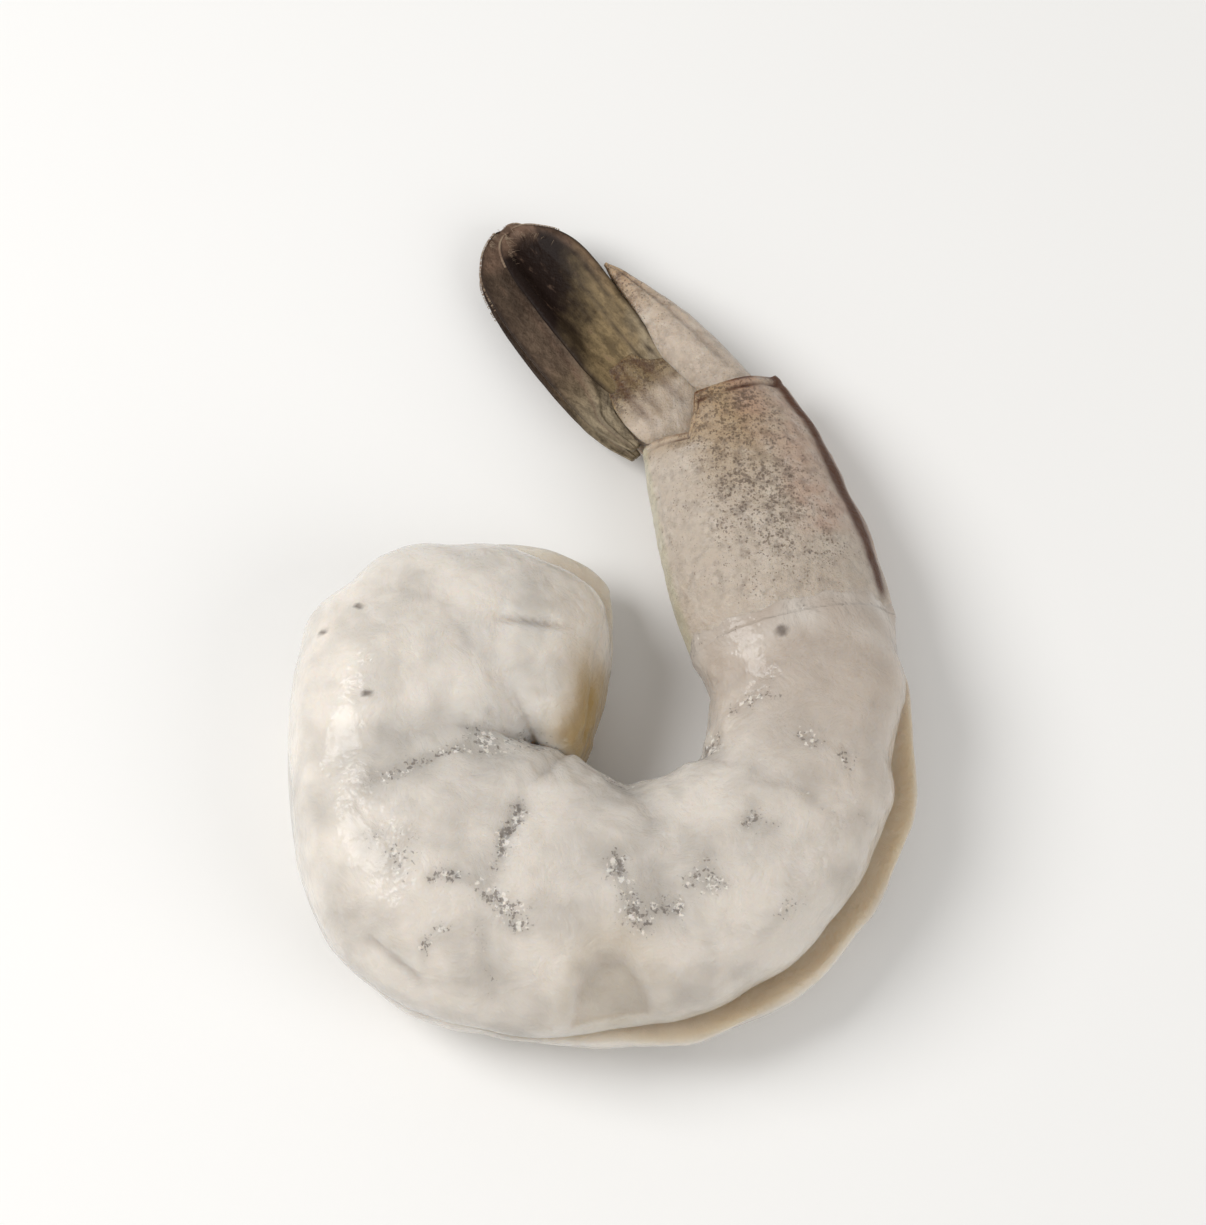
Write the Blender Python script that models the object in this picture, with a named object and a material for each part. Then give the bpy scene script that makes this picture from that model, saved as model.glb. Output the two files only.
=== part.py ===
"""A raw prawn, peeled and slit along its back, with its last shell ring and tail fan left on.

It lies on its side and curls like a letter C, so its width stands upright. Lengths are in
millimetres and become metres when a mesh is made. X runs to the right, Y from the curl
towards the tail, and Z up from the table.
"""

import math

import bmesh
import bpy
import numpy as np

MM = 0.001
# The middle of the curled prawn in the stations' own X and Y, which becomes the origin.
CURL_CENTRE = (1.193, 0.924)

# The peeled flesh, head end first. Each station is a belly point (x, y), a back point
# (x, y) and half the width. The belly points turn round one spot where the curl is tight.
FLESH_STATIONS = (
    ((-0.6, -10.7), (1.6, 1.7), 5.6),
    ((-2.3, -10.3), (-3.6, 4.4), 6.9),
    ((-3.8, -9.9), (-9.4, 5.6), 7.4),
    ((-4.6, -9.8), (-16.0, 4.2), 7.7),
    ((-5.0, -10.1), (-21.0, -0.6), 7.9),
    ((-5.0, -10.7), (-22.6, -8.8), 7.9),
    ((-4.5, -11.4), (-22.3, -17.2), 8.0),
    ((-3.5, -11.9), (-19.6, -25.4), 8.1),
    ((-2.1, -12.4), (-13.4, -31.0), 8.1),
    ((-0.2, -12.9), (-5.4, -33.2), 8.0),
    ((2.0, -13.4), (2.4, -33.6), 7.8),
    ((4.3, -13.3), (9.8, -32.8), 7.6),
    ((6.4, -12.4), (16.4, -28.9), 7.4),
    ((8.0, -11.1), (21.5, -22.9), 7.2),
    ((9.0, -9.2), (24.6, -16.5), 7.0),
    ((9.3, -7.5), (25.0, -10.3), 6.7),
    ((9.0, -5.5), (24.3, -4.5), 6.3),
    ((8.1, -3.2), (22.9, 0.5), 6.0),
)

# The shell ring of the sixth segment, from the peeled flesh to the tail joint.
SHELL_STATIONS = (
    ((8.0, -3.2), (22.9, 0.4), 6.0),
    ((6.5, 1.6), (21.5, 5.8), 5.9),
    ((5.3, 7.2), (19.1, 11.9), 5.5),
    ((4.7, 11.6), (16.8, 16.8), 4.9),
    ((4.3, 14.8), (14.4, 20.5), 4.4),
)

# Where one segment's muscle ends and the next begins, in stations from the head end, and
# how deep the crease between them is on the sides.
CREASES = ((3.0, 0.25), (5.5, 0.5), (8.4, 0.45), (10.8, 0.45), (13.3, 0.45), (16.0, 0.4))
CREASE_HALF_LENGTH = 0.9
CREASE_SLANT = 0.35
BELLY_CREASE_GAIN = 1.6

# The slit along the back. The upper lip is drawn back from the lower one.
SLIT_DEPTH = 3.0
SLIT_END_STATION = 16.2
LIP_HEIGHT = 0.7
LIP_SETBACK = 1.9
LIP_SETBACK_FROM, LIP_SETBACK_FULL = 8.8, 11.6
# Where the knife slipped, the upper half is sliced away on a slope above its lip.
SCOOP_STATION = 10.05
SCOOP_HALF_STATIONS = 0.62
SCOOP_SETBACK = 6.4

SECTION_POWER = 2.25
WIDEST_TOWARDS_BACK = 0.10
FLESH_SINK = 0.7
SINK_FADES_FROM = 15.0
HEAD_FACE_BULGE = 1.6
GAP = 0.3

FLESH_RINGS = 100
NEAR_SIDE_POINTS = 15
SLIT_WALL_POINTS = 4

# The flesh narrows and goes a little way in under the front rim of the shell ring.
TUCK_INSET = 0.85
TUCK_STATIONS = 0.3
TUCK_LENGTH = 1.8
RIM_THICKNESS = 0.4
SOCKET_DEPTH = 2.2
REAR_SOCKET_DEPTH = 2.9

SHELL_RINGS = 20
SHELL_POINTS = 40
KEEL_HEIGHT = 0.7
KEEL_HALF_WIDTH = 1.1
# How far the ring's rear edge stands out, from its belly side to its back, and the small
# spine at the end of the keel.
REAR_EDGE_REACH = ((0.0, 0.0), (0.12, -0.8), (0.25, -1.7), (0.33, -0.6), (0.41, 0.9), (0.6, 0.6), (1.0, 0.0))
REAR_SPINE = 0.9

# The tail fan turns from the joint by this bearing and sinks to the table at its tip.
FAN_JOINT = (8.0, 17.0)
FAN_JOINT_HEIGHT = 4.8
FAN_BEARING = math.radians(130.7)
FAN_SINK_PER_MM = 0.105

BLADE_THICKNESS = 0.6
BLADE_EDGE_THICKNESS = 0.3
BLADE_RINGS = 20
BLADE_ACROSS = 8

# Edges of the blades in the fan's own frame: distance out from the joint, then the
# belly-side and the back-side edge across it.
OUTER_BLADE_EDGES = (
    (1.3, -5.0, -4.0),
    (3.2, -5.9, -3.9),
    (5.1, -6.35, -3.6),
    (6.6, -6.45, -1.4),
    (9.5, -6.4, 0.6),
    (13.7, -5.4, 1.6),
    (17.6, -4.7, 2.2),
    (20.5, -4.0, 2.1),
    (22.0, -2.9, 1.2),
    (22.6, -1.8, 0.0),
)
INNER_BLADE_EDGES = (
    (5.4, -2.4, 1.4),
    (8.5, -3.2, 2.3),
    (11.5, -3.1, 2.8),
    (14.3, -2.8, 3.3),
    (17.2, -2.5, 3.8),
    (19.8, -2.2, 3.5),
    (21.6, -1.5, 2.8),
    (22.7, -0.5, 1.9),
    (23.1, 0.3, 1.1),
)
# Height of each blade in the closed stack.
BLADES = (
    ("inner_blade_top", INNER_BLADE_EDGES, 1.1),
    ("outer_blade_top", OUTER_BLADE_EDGES, 0.0),
    ("inner_blade_bottom", INNER_BLADE_EDGES, -0.95),
    ("outer_blade_bottom", OUTER_BLADE_EDGES, -1.9),
)
# The inner blade of the top pair is a spoon, steepest at its belly-side rim.
SPOON_RIM_BELLY, SPOON_RIM_BACK = 1.0, 0.5
OUTER_RIM = 0.35

# The telson: distance out, centre across, half width, underside and top above the blades.
TELSON_STATIONS = (
    (-0.6, 4.0, 2.0, -1.6, 2.9),
    (2.4, 4.05, 2.05, -1.3, 3.0),
    (6.0, 4.05, 1.9, -0.6, 2.8),
    (9.5, 4.2, 1.3, 0.0, 2.3),
    (12.8, 4.2, 0.7, 0.3, 1.8),
    (15.0, 4.15, 0.2, 0.6, 1.2),
)
# Its root follows the slanting rear edge of the shell ring.
TELSON_ROOT_SLANT = -0.27
TELSON_RINGS = 14
TELSON_POINTS = 14

# The basal plates that carry the blades: distance out, belly edge, back edge, half height.
BASE_PLATE_STATIONS = (
    (-0.9, -2.1, -1.3, 0.6),
    (0.3, -2.9, -0.8, 0.9),
    (1.4, -3.3, -0.2, 1.05),
    (3.3, -3.4, 1.4, 1.05),
    (5.0, -2.9, 1.4, 0.75),
)
BASE_PLATE_TOP_HEIGHT = 1.2
BASE_PLATE_BOTTOM_HEIGHT = -1.4
BASE_PLATE_RINGS = 8
BASE_PLATE_POINTS = 12

MATERIALS = {
    "raw_flesh": ((0.66, 0.63, 0.57), 0.25),
    "tail_shell": ((0.50, 0.40, 0.30), 0.30),
    "tail_fan": ((0.08, 0.06, 0.045), 0.35),
}


def clear_scene():
    for old in list(bpy.data.objects):
        bpy.data.objects.remove(old)


def material(name):
    found = bpy.data.materials.get(name)
    if found:
        return found
    colour, roughness = MATERIALS[name]
    made = bpy.data.materials.new(name)
    made.use_nodes = True
    shader = made.node_tree.nodes["Principled BSDF"]
    shader.inputs["Base Color"].default_value = (*colour, 1.0)
    shader.inputs["Roughness"].default_value = roughness
    shader.inputs["Metallic"].default_value = 0.0
    return made


def smoothstep(low, high, value):
    t = np.clip((value - low) / (high - low), 0.0, 1.0)
    return t * t * (3.0 - 2.0 * t)


def through(rows, position):
    """A smooth curve through rows of numbers, read at a position counted in rows."""
    rows = np.asarray(rows, float)
    last = len(rows) - 1
    i = int(min(max(math.floor(position), 0), last - 1))
    t = position - i
    before = rows[i - 1] if i > 0 else 2.0 * rows[i] - rows[i + 1]
    after = rows[i + 2] if i + 2 <= last else 2.0 * rows[i + 1] - rows[i]
    tangent_a = (rows[i + 1] - before) / 2.0
    tangent_b = (after - rows[i]) / 2.0
    return (
        (2 * t**3 - 3 * t**2 + 1) * rows[i]
        + (t**3 - 2 * t**2 + t) * tangent_a
        + (3 * t**2 - 2 * t**3) * rows[i + 1]
        + (t**3 - t**2) * tangent_b
    )


def spaced(points, count, with_last=False):
    """count points spaced evenly along an open line, its first point among them."""
    steps = np.linalg.norm(np.diff(points, axis=0), axis=1)
    distance = np.concatenate([[0.0], np.cumsum(steps)])
    wanted = np.linspace(0.0, distance[-1], count, endpoint=with_last)
    return np.stack([np.interp(wanted, distance, points[:, k]) for k in (0, 1)], axis=1)


def station(stations, position):
    """Belly point, unit vector to the back, depth and half width at a position."""
    flat = [(*belly, *back, half) for belly, back, half in stations]
    row = through(flat, position)
    belly, back = row[0:2], row[2:4]
    depth = float(np.linalg.norm(back - belly))
    return belly, (back - belly) / depth, depth, float(row[4])


def half_oval(back_reach, belly_reach, half_width, sign, sliced=0.0):
    """Half a section, from the belly to the lip of the slit, as (towards the back, up)."""
    lip_angle = math.asin(min(0.95, LIP_HEIGHT / half_width))
    angles = np.linspace(math.pi, lip_angle, 90)
    c, s = np.cos(angles), np.sin(angles)
    across = np.sign(c) * np.abs(c) ** (2.0 / SECTION_POWER)
    up = np.abs(s) ** (2.0 / SECTION_POWER)
    back = back_reach - sliced * smoothstep(0.05, 0.85, up)
    reach = np.where(across > 0.0, back, belly_reach)
    return np.stack([across * reach, sign * up * half_width], axis=1)


def lip_setback(position):
    """How far the slit's upper lip is drawn back from the lower one."""
    opening = smoothstep(LIP_SETBACK_FROM, LIP_SETBACK_FULL, position)
    closing = 1.0 - smoothstep(SLIT_END_STATION - 1.6, SLIT_END_STATION, position)
    return 0.15 + LIP_SETBACK * opening * closing


def scoop_setback(position):
    """How far the slope is sliced into the upper half above its lip."""
    from_scoop = abs(position - SCOOP_STATION) / SCOOP_HALF_STATIONS
    return SCOOP_SETBACK * max(0.0, 1.0 - from_scoop**2)


def slit_depth(position):
    return SLIT_DEPTH * (1.0 - smoothstep(SLIT_END_STATION - 1.2, SLIT_END_STATION, position)) + 0.1


def crease_depth(position, towards_back):
    """How far the surface sinks at a segment's crease, which leans and is deepest at the belly."""
    depth = 0.0
    for at, deep in CREASES:
        away = (position - at - CREASE_SLANT * towards_back) / (CREASE_HALF_LENGTH / 2.2)
        depth = depth + deep * np.exp(-(away**2))
    return depth * (1.0 + (BELLY_CREASE_GAIN - 1.0) * np.clip(-towards_back, 0.0, 1.0))


def flesh_section(position):
    """One closed section of the flesh, in its own plane, as (towards the back, up)."""
    _, _, depth, half_width = station(FLESH_STATIONS, position)
    back_reach = depth * (0.5 - WIDEST_TOWARDS_BACK / 2.0)
    belly_reach = depth - back_reach
    upper_reach = back_reach - lip_setback(position)
    upper = half_oval(upper_reach, belly_reach, half_width, 1.0, scoop_setback(position))
    lower = half_oval(back_reach, belly_reach, half_width, -1.0)
    root = np.array([upper[-1, 0] - slit_depth(position), 0.0])
    line = [
        spaced(upper, NEAR_SIDE_POINTS),
        spaced(np.array([upper[-1], root]), SLIT_WALL_POINTS),
        spaced(np.array([root, lower[-1]]), SLIT_WALL_POINTS),
        spaced(lower[::-1], NEAR_SIDE_POINTS),
    ]
    section = np.concatenate(line)
    towards_back = section[:, 0] / np.where(section[:, 0] > 0.0, back_reach, belly_reach)
    sink = crease_depth(position, towards_back)
    length = np.linalg.norm(section, axis=1)
    section *= (1.0 - sink / np.maximum(length, 2.0))[:, None]
    section[:, 0] += belly_reach
    return section


def on_table(points):
    """Flesh that would reach below the table is pressed flat on it."""
    points[:, 2] = np.maximum(points[:, 2], 0.0)
    return points


def in_plane(section, belly, to_back, mid_height, forward=0.0):
    """A section stood upright on its station, moved forward along the body."""
    along = np.array([-to_back[1], to_back[0]])
    flat = belly + section[:, :1] * to_back + np.reshape(forward, (-1, 1)) * along
    return np.column_stack([flat, section[:, 1] + mid_height])


def inset(section, amount):
    """A section drawn in by an amount on every side."""
    low, high = section.min(axis=0), section.max(axis=0)
    centre, reach = (low + high) / 2.0, (high - low) / 2.0
    return centre + (section - centre) * (reach - amount) / reach


def flesh_height(position, half_width):
    """Height of the flesh's middle plane, so that its underside lies flat on the table."""
    last = len(FLESH_STATIONS) - 1
    return half_width - FLESH_SINK * (1.0 - smoothstep(SINK_FADES_FROM, last, position))


def flesh_rings():
    last = len(FLESH_STATIONS) - 1
    rings = []
    belly, to_back, _, half_width = station(FLESH_STATIONS, 0.0)
    face = flesh_section(0.0)
    centre = face.mean(axis=0)
    for scale in (0.3, 0.58, 0.8, 0.94):
        bulge = HEAD_FACE_BULGE * (1.0 - scale**2)
        ring = centre + (face - centre) * scale
        rings.append(in_plane(ring, belly, to_back, flesh_height(0.0, half_width), -bulge))
    for position in np.linspace(0.0, last, FLESH_RINGS):
        belly, to_back, _, half_width = station(FLESH_STATIONS, position)
        tuck = TUCK_INSET * smoothstep(last - TUCK_STATIONS, last, position)
        ring = inset(flesh_section(position), tuck)
        rings.append(in_plane(ring, belly, to_back, flesh_height(position, half_width)))
    for share, extra in ((0.5, 0.0), (0.9, 0.1), (1.0, 0.9)):
        plug = inset(flesh_section(last), TUCK_INSET + extra)
        rings.append(in_plane(plug, belly, to_back, half_width, share * TUCK_LENGTH))
    return [on_table(ring) for ring in rings]


def shell_section(position):
    """One section of the shell ring with its keel, as (towards the back, up)."""
    _, _, depth, half_width = station(SHELL_STATIONS, position)
    angles = np.linspace(0.0, 2.0 * math.pi, SHELL_POINTS, endpoint=False)
    c, s = np.cos(angles), np.sin(angles)
    up = s * half_width
    keel = KEEL_HEIGHT * np.exp(-((up / KEEL_HALF_WIDTH) ** 2)) * np.clip(c, 0.0, 1.0)
    across = depth / 2.0 * (1.0 + np.sign(c) * np.abs(c) ** 0.9) + keel
    return np.stack([across, up], axis=1)


def rear_edge_reach(section):
    """How far each point of the ring's rear edge stands out beyond a plane cut."""
    share = section[:, 0] / section[:, 0].max()
    wave = np.interp(share, *np.array(REAR_EDGE_REACH).T)
    spine = REAR_SPINE * np.exp(-((section[:, 1] / 0.7) ** 2)) * smoothstep(0.9, 1.0, share)
    return wave + spine


def shell_rings():
    last = len(SHELL_STATIONS) - 1
    rings = []
    belly, to_back, _, half_width = station(SHELL_STATIONS, 0.0)
    front = shell_section(0.0)
    for forward, thickness in ((SOCKET_DEPTH, 2.0), (SOCKET_DEPTH, RIM_THICKNESS), (0.0, RIM_THICKNESS)):
        rings.append(in_plane(inset(front, thickness), belly, to_back, half_width, forward))
    for position in np.linspace(0.0, last, SHELL_RINGS):
        belly, to_back, _, half_width = station(SHELL_STATIONS, position)
        section = shell_section(position)
        forward = rear_edge_reach(section) * smoothstep(last - 1.1, last, position)
        rings.append(in_plane(section, belly, to_back, half_width, forward))
    rim = rear_edge_reach(section)
    rings.append(in_plane(inset(section, RIM_THICKNESS), belly, to_back, half_width, rim))
    for thickness in (0.6, 2.0):
        floor = inset(section, thickness)
        rings.append(in_plane(floor, belly, to_back, half_width, -REAR_SOCKET_DEPTH))
    return [on_table(ring) for ring in rings]


def in_fan(out, across, up):
    """A point of the tail fan's own frame, as (x, y, z)."""
    c, s = math.cos(FAN_BEARING), math.sin(FAN_BEARING)
    x = FAN_JOINT[0] + out * c + across * s
    y = FAN_JOINT[1] + out * s - across * c
    z = FAN_JOINT_HEIGHT + up - FAN_SINK_PER_MM * out
    return (x, y, z)


def blade_height(name, share):
    """How far a blade's surface rises towards its rims."""
    towards_belly = np.clip(1.0 - 2.0 * share, 0.0, 1.0)
    towards_back = np.clip(2.0 * share - 1.0, 0.0, 1.0)
    if name == "inner_blade_top":
        return SPOON_RIM_BELLY * towards_belly**2 + SPOON_RIM_BACK * towards_back**2
    return OUTER_RIM * towards_belly**3


def blade_rings(name, edges, height):
    last = len(edges) - 1
    rings = []
    for position in np.linspace(0.0, last, BLADE_RINGS):
        out, low, high = through(edges, position)
        top, under = [], []
        for share in np.linspace(0.0, 1.0, BLADE_ACROSS + 1):
            side = math.sqrt(max(0.0, 1.0 - (2.0 * share - 1.0) ** 4))
            thick = BLADE_EDGE_THICKNESS + (BLADE_THICKNESS - BLADE_EDGE_THICKNESS) * side
            across = low + (high - low) * share
            up = height + blade_height(name, share)
            top.append(in_fan(out, across, up + thick / 2.0))
            under.append(in_fan(out, across, up - thick / 2.0))
        rings.append(np.array(top + under[::-1]))
    return rings


def oval_ring(centre, half_across, low, high, out, count, slant=0.0):
    """An oval across the fan, from low to high, which may lean along it."""
    ring = []
    for turn in np.linspace(0.0, 2.0 * math.pi, count, endpoint=False):
        up = (low + high) / 2.0 + (high - low) / 2.0 * math.sin(turn)
        across = half_across * math.cos(turn)
        ring.append(in_fan(out + slant * across, centre + across, up))
    return np.array(ring)


def telson_rings():
    last = len(TELSON_STATIONS) - 1
    rings = []
    for position in np.linspace(0.0, last, TELSON_RINGS):
        out, centre, half, low, high = through(TELSON_STATIONS, position)
        slant = TELSON_ROOT_SLANT * (1.0 - smoothstep(0.0, 2.0, position))
        rings.append(oval_ring(centre, half, low, high, out, TELSON_POINTS, slant))
    return rings


def base_plate_rings(height):
    last = len(BASE_PLATE_STATIONS) - 1
    rings = []
    for position in np.linspace(0.0, last, BASE_PLATE_RINGS):
        out, low, high, half = through(BASE_PLATE_STATIONS, position)
        middle = (low + high) / 2.0
        reach = (high - low) / 2.0
        rings.append(
            oval_ring(middle, reach, height - half, height + half, out, BASE_PLATE_POINTS)
        )
    return rings


def loft(name, rings, surface):
    """One closed solid through rings of points, its two ends closed by fans of triangles."""
    mesh = bmesh.new()
    rows = [[mesh.verts.new(point * MM) for point in ring] for ring in rings]
    count = len(rows[0])
    for row, following in zip(rows, rows[1:]):
        for k in range(count):
            n = (k + 1) % count
            mesh.faces.new((row[k], row[n], following[n], following[k]))
    for row in (rows[0], rows[-1]):
        middle = np.mean([vert.co for vert in row], axis=0)
        centre = mesh.verts.new(middle)
        for k in range(count):
            mesh.faces.new((row[k], row[(k + 1) % count], centre))
    bmesh.ops.recalc_face_normals(mesh, faces=mesh.faces)
    if mesh.calc_volume(signed=True) < 0.0:
        bmesh.ops.reverse_faces(mesh, faces=mesh.faces)
    data = bpy.data.meshes.new(name)
    mesh.to_mesh(data)
    mesh.free()
    data.shade_smooth()
    data.set_sharp_from_angle(angle=math.radians(50.0))
    made = bpy.data.objects.new(name, data)
    made.data.materials.append(material(surface))
    bpy.context.scene.collection.objects.link(made)
    return made


def main():
    clear_scene()
    prawn = bpy.data.objects.new("prawn", None)
    prawn.location = (-CURL_CENTRE[0] * MM, -CURL_CENTRE[1] * MM, 0.0)
    bpy.context.scene.collection.objects.link(prawn)
    pieces = [
        loft("flesh", flesh_rings(), "raw_flesh"),
        loft("shell_ring", shell_rings(), "tail_shell"),
        loft("telson", telson_rings(), "tail_shell"),
        loft("base_plate_top", base_plate_rings(BASE_PLATE_TOP_HEIGHT), "tail_shell"),
        loft("base_plate_bottom", base_plate_rings(BASE_PLATE_BOTTOM_HEIGHT), "tail_shell"),
    ]
    for name, edges, height in BLADES:
        pieces.append(loft(name, blade_rings(name, edges, height), "tail_fan"))
    for piece in pieces:
        piece.parent = prawn


main()
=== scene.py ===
"""A raw tiger prawn, peeled and slit along its back, with its last shell ring and tail fan on.

The sizes of the form are in millimetres. X runs to the right, Y from the curl towards the
tail, and Z up from the table that the prawn lies on.
"""

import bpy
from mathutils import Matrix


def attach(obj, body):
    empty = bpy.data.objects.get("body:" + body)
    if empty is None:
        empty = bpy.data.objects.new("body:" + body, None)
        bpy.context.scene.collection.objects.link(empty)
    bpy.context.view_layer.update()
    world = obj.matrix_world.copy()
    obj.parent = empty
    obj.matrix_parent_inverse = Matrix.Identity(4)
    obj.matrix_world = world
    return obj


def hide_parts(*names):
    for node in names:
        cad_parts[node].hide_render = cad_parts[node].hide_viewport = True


bl_info = {
    "name": "Raw tiger prawn",
    "version": (1, 0, 0),
    "blender": (4, 5, 0),
    "location": "View3D > Sidebar > Prawn",
    "description": "Builds a peeled raw prawn with its tail on",
    "category": "Object",
}

import math

import bmesh
import bpy
import numpy as np
from mathutils import Vector, noise

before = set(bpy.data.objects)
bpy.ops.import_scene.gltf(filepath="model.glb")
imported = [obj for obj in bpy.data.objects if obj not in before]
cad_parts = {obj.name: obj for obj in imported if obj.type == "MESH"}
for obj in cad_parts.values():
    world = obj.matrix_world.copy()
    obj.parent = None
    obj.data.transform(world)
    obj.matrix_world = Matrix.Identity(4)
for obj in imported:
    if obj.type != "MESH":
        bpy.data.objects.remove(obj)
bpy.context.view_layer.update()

MM = 0.001
# The middle of the curled prawn in the stations' own X and Y, which becomes the origin.
CURL_CENTRE = (1.193, 0.924)

# The peeled flesh, head end first. Each station is a belly point (x, y), a back point
# (x, y) and half the width. The belly points turn round one spot where the curl is tight.
FLESH_STATIONS = (
    ((-0.6, -10.7), (1.6, 1.7), 5.6),
    ((-2.3, -10.3), (-3.6, 4.4), 6.9),
    ((-3.8, -9.9), (-9.4, 5.6), 7.4),
    ((-4.6, -9.8), (-16.0, 4.2), 7.7),
    ((-5.0, -10.1), (-21.0, -0.6), 7.9),
    ((-5.0, -10.7), (-22.6, -8.8), 7.9),
    ((-4.5, -11.4), (-22.3, -17.2), 8.0),
    ((-3.5, -11.9), (-19.6, -25.4), 8.1),
    ((-2.1, -12.4), (-13.4, -31.0), 8.1),
    ((-0.2, -12.9), (-5.4, -33.2), 8.0),
    ((2.0, -13.4), (2.4, -33.6), 7.8),
    ((4.3, -13.3), (9.8, -32.8), 7.6),
    ((6.4, -12.4), (16.4, -28.9), 7.4),
    ((8.0, -11.1), (21.5, -22.9), 7.2),
    ((9.0, -9.2), (24.6, -16.5), 7.0),
    ((9.3, -7.5), (25.0, -10.3), 6.7),
    ((9.0, -5.5), (24.3, -4.5), 6.3),
    ((8.1, -3.2), (22.9, 0.5), 6.0),
)
LAST_FLESH_STATION = len(FLESH_STATIONS) - 1

# The shell ring of the sixth segment, from the peeled flesh to the tail joint.
SHELL_STATIONS = (
    ((8.0, -3.2), (22.9, 0.4), 6.0),
    ((6.5, 1.6), (21.5, 5.8), 5.9),
    ((5.3, 7.2), (19.1, 11.9), 5.5),
    ((4.7, 11.6), (16.8, 16.8), 4.9),
    ((4.3, 14.8), (14.4, 20.5), 4.4),
)
LAST_SHELL_STATION = len(SHELL_STATIONS) - 1

# Where one segment's muscle ends and the next begins, in stations from the head end, and
# how deep the crease between them is on the sides.
CREASES = ((3.0, 0.12), (5.5, 0.30), (8.4, 0.22), (10.8, 0.26), (13.3, 0.26), (16.0, 0.16))
CREASE_HALF_LENGTH = 0.9
CREASE_SLANT = 0.35
CREASE_WANDER = 0.28
BELLY_CREASE_GAIN = 1.25

# Straight grooves in the upper side, each from (x, y) to (x, y) with its depth and half width.
GROOVES = (
    ((-7.6, -2.6), (-0.7, -2.6), 0.36, 0.32),
    ((-16.8, -26.6), (-11.4, -31.0), 0.36, 0.3),
)

# Flecks of skin on the upper side: a stretch from (x, y) to (x, y), its half width, how thick.
FLECK_STRETCHES = (
    ((-3.2, -11.3), (-8.6, -12.3), 0.7, 0.8),
    ((-8.6, -12.3), (-16.0, -16.0), 0.8, 0.7),
    ((-4.3, -17.7), (-6.6, -22.3), 0.6, 1.0),
    ((-7.3, -24.1), (-4.4, -26.4), 0.8, 0.9),
    ((-10.9, -23.3), (-8.0, -23.8), 0.5, 0.9),
    ((2.2, -22.1), (3.6, -26.6), 0.8, 1.0),
    ((3.4, -25.7), (6.7, -25.2), 0.7, 0.9),
    ((7.7, -23.5), (9.5, -22.8), 0.9, 0.8),
    ((12.7, -18.4), (13.1, -18.8), 0.9, 0.8),
    ((15.0, -24.5), (15.5, -24.1), 0.9, 0.7),
    ((16.4, -11.5), (16.7, -11.9), 1.0, 0.7),
    ((19.7, -13.2), (19.4, -13.6), 0.9, 0.7),
    ((10.9, -8.3), (13.8, -7.4), 0.7, 0.8),
    ((2.8, -12.8), (8.8, -11.5), 1.2, 0.9),
    ((-14.8, -20.2), (-13.0, -22.0), 1.0, 0.6),
    ((-11.8, -28.6), (-10.5, -27.0), 0.7, 0.6),
)
# Where the upper half of the head end thins out, from (x, y) to (x, y), and its half width.
AMBER_STRETCH = ((1.6, -5.4), (-0.9, -10.6), 1.7)
# Single dark dots: (x, y) and radius.
DOTS = (((-17.2, -1.5), 0.28), ((-19.8, -3.3), 0.3), ((-16.3, -8.9), 0.32), ((14.6, -2.8), 0.5))

# The slit lies shut along the left of the curl. It gapes from one station to the shell, and
# at the head end, where the lower half reaches out past the upper one.
SLIT_END_STATION = 16.2
SHUT_LIP_HEIGHT, OPEN_LIP_HEIGHT = 0.12, 0.6
LIP_SETBACK_FROM, LIP_SETBACK_FULL = 8.8, 11.6
HEAD_GAPE_STATIONS = 2.7
# A scoop is sliced out of the upper half above its lip, and beside it lies a shallow arched
# hollow in the upper side.
SCOOP_STATION = 9.95
SCOOP_HALF_STATIONS = 0.5
SCOOP_SETBACK = 1.0
ARCH_CENTRE = (1.9, -33.2)
ARCH_HALF_WIDTH = 3.3
ARCH_HEIGHT = 4.9
ARCH_DEPTH = 1.0
ARCH_RIM_HEIGHT = 0.22

SECTION_POWER = 2.25
WIDEST_TOWARDS_BACK = 0.10
FLESH_SINK = 0.7
SINK_FADES_FROM = 15.0
HEAD_FACE_BULGE = 1.1
HEAD_ROUNDING = 1.2
HEAD_ROUNDING_STATIONS = 0.36

FLESH_RINGS = 420
HEAD_RINGS = 22
SIDE_POINTS = 72
SLIT_WALL_POINTS = 16
SEAM_STATIONS = 0.8
# Where the flesh meets the shell's front: shell station, and how far below the shell's surface.
LAP_STEPS = (
    (0.06, 0.0),
    (0.12, 0.01),
    (0.18, 0.035),
    (0.24, 0.07),
    (0.3, 0.12),
    (0.36, 0.2),
    (0.4, 0.35),
    (0.42, 1.2),
)
LAP_DIP = 0.07
# The shell's front edge runs back into the flesh, so that no gap shows between them.
SHELL_FRONT_STEPS = ((0.3, 2.6), (-0.8, 2.0), (-1.0, 1.0), (-0.8, 0.45), (-0.4, 0.15))
# How far the belly side swells past its stations, as (station, millimetres), so that the
# rings meet in the pinch of the curl without crossing.
BELLY_SWELL = (
    (0.0, 1.9),
    (1.6, 1.75),
    (2.4, 1.35),
    (3.0, 1.15),
    (5.0, 1.1),
    (6.2, 1.3),
    (7.4, 1.4),
    (8.4, 1.2),
    (9.4, 0.5),
    (10.4, 0.0),
)
FLECK_VALLEY = 0.14

SHELL_RINGS = 130
SHELL_POINTS = 168
KEEL_HALF_WIDTH = 1.0
# How far the rear edge reaches, from the belly at 0 to the back at 1.
REAR_EDGE_REACH = (
    (0.0, 0.0),
    (0.12, -0.8),
    (0.25, -1.7),
    (0.33, -0.6),
    (0.41, 0.9),
    (0.6, 0.6),
    (1.0, 0.0),
)
REAR_SPINE = 0.4

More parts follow.
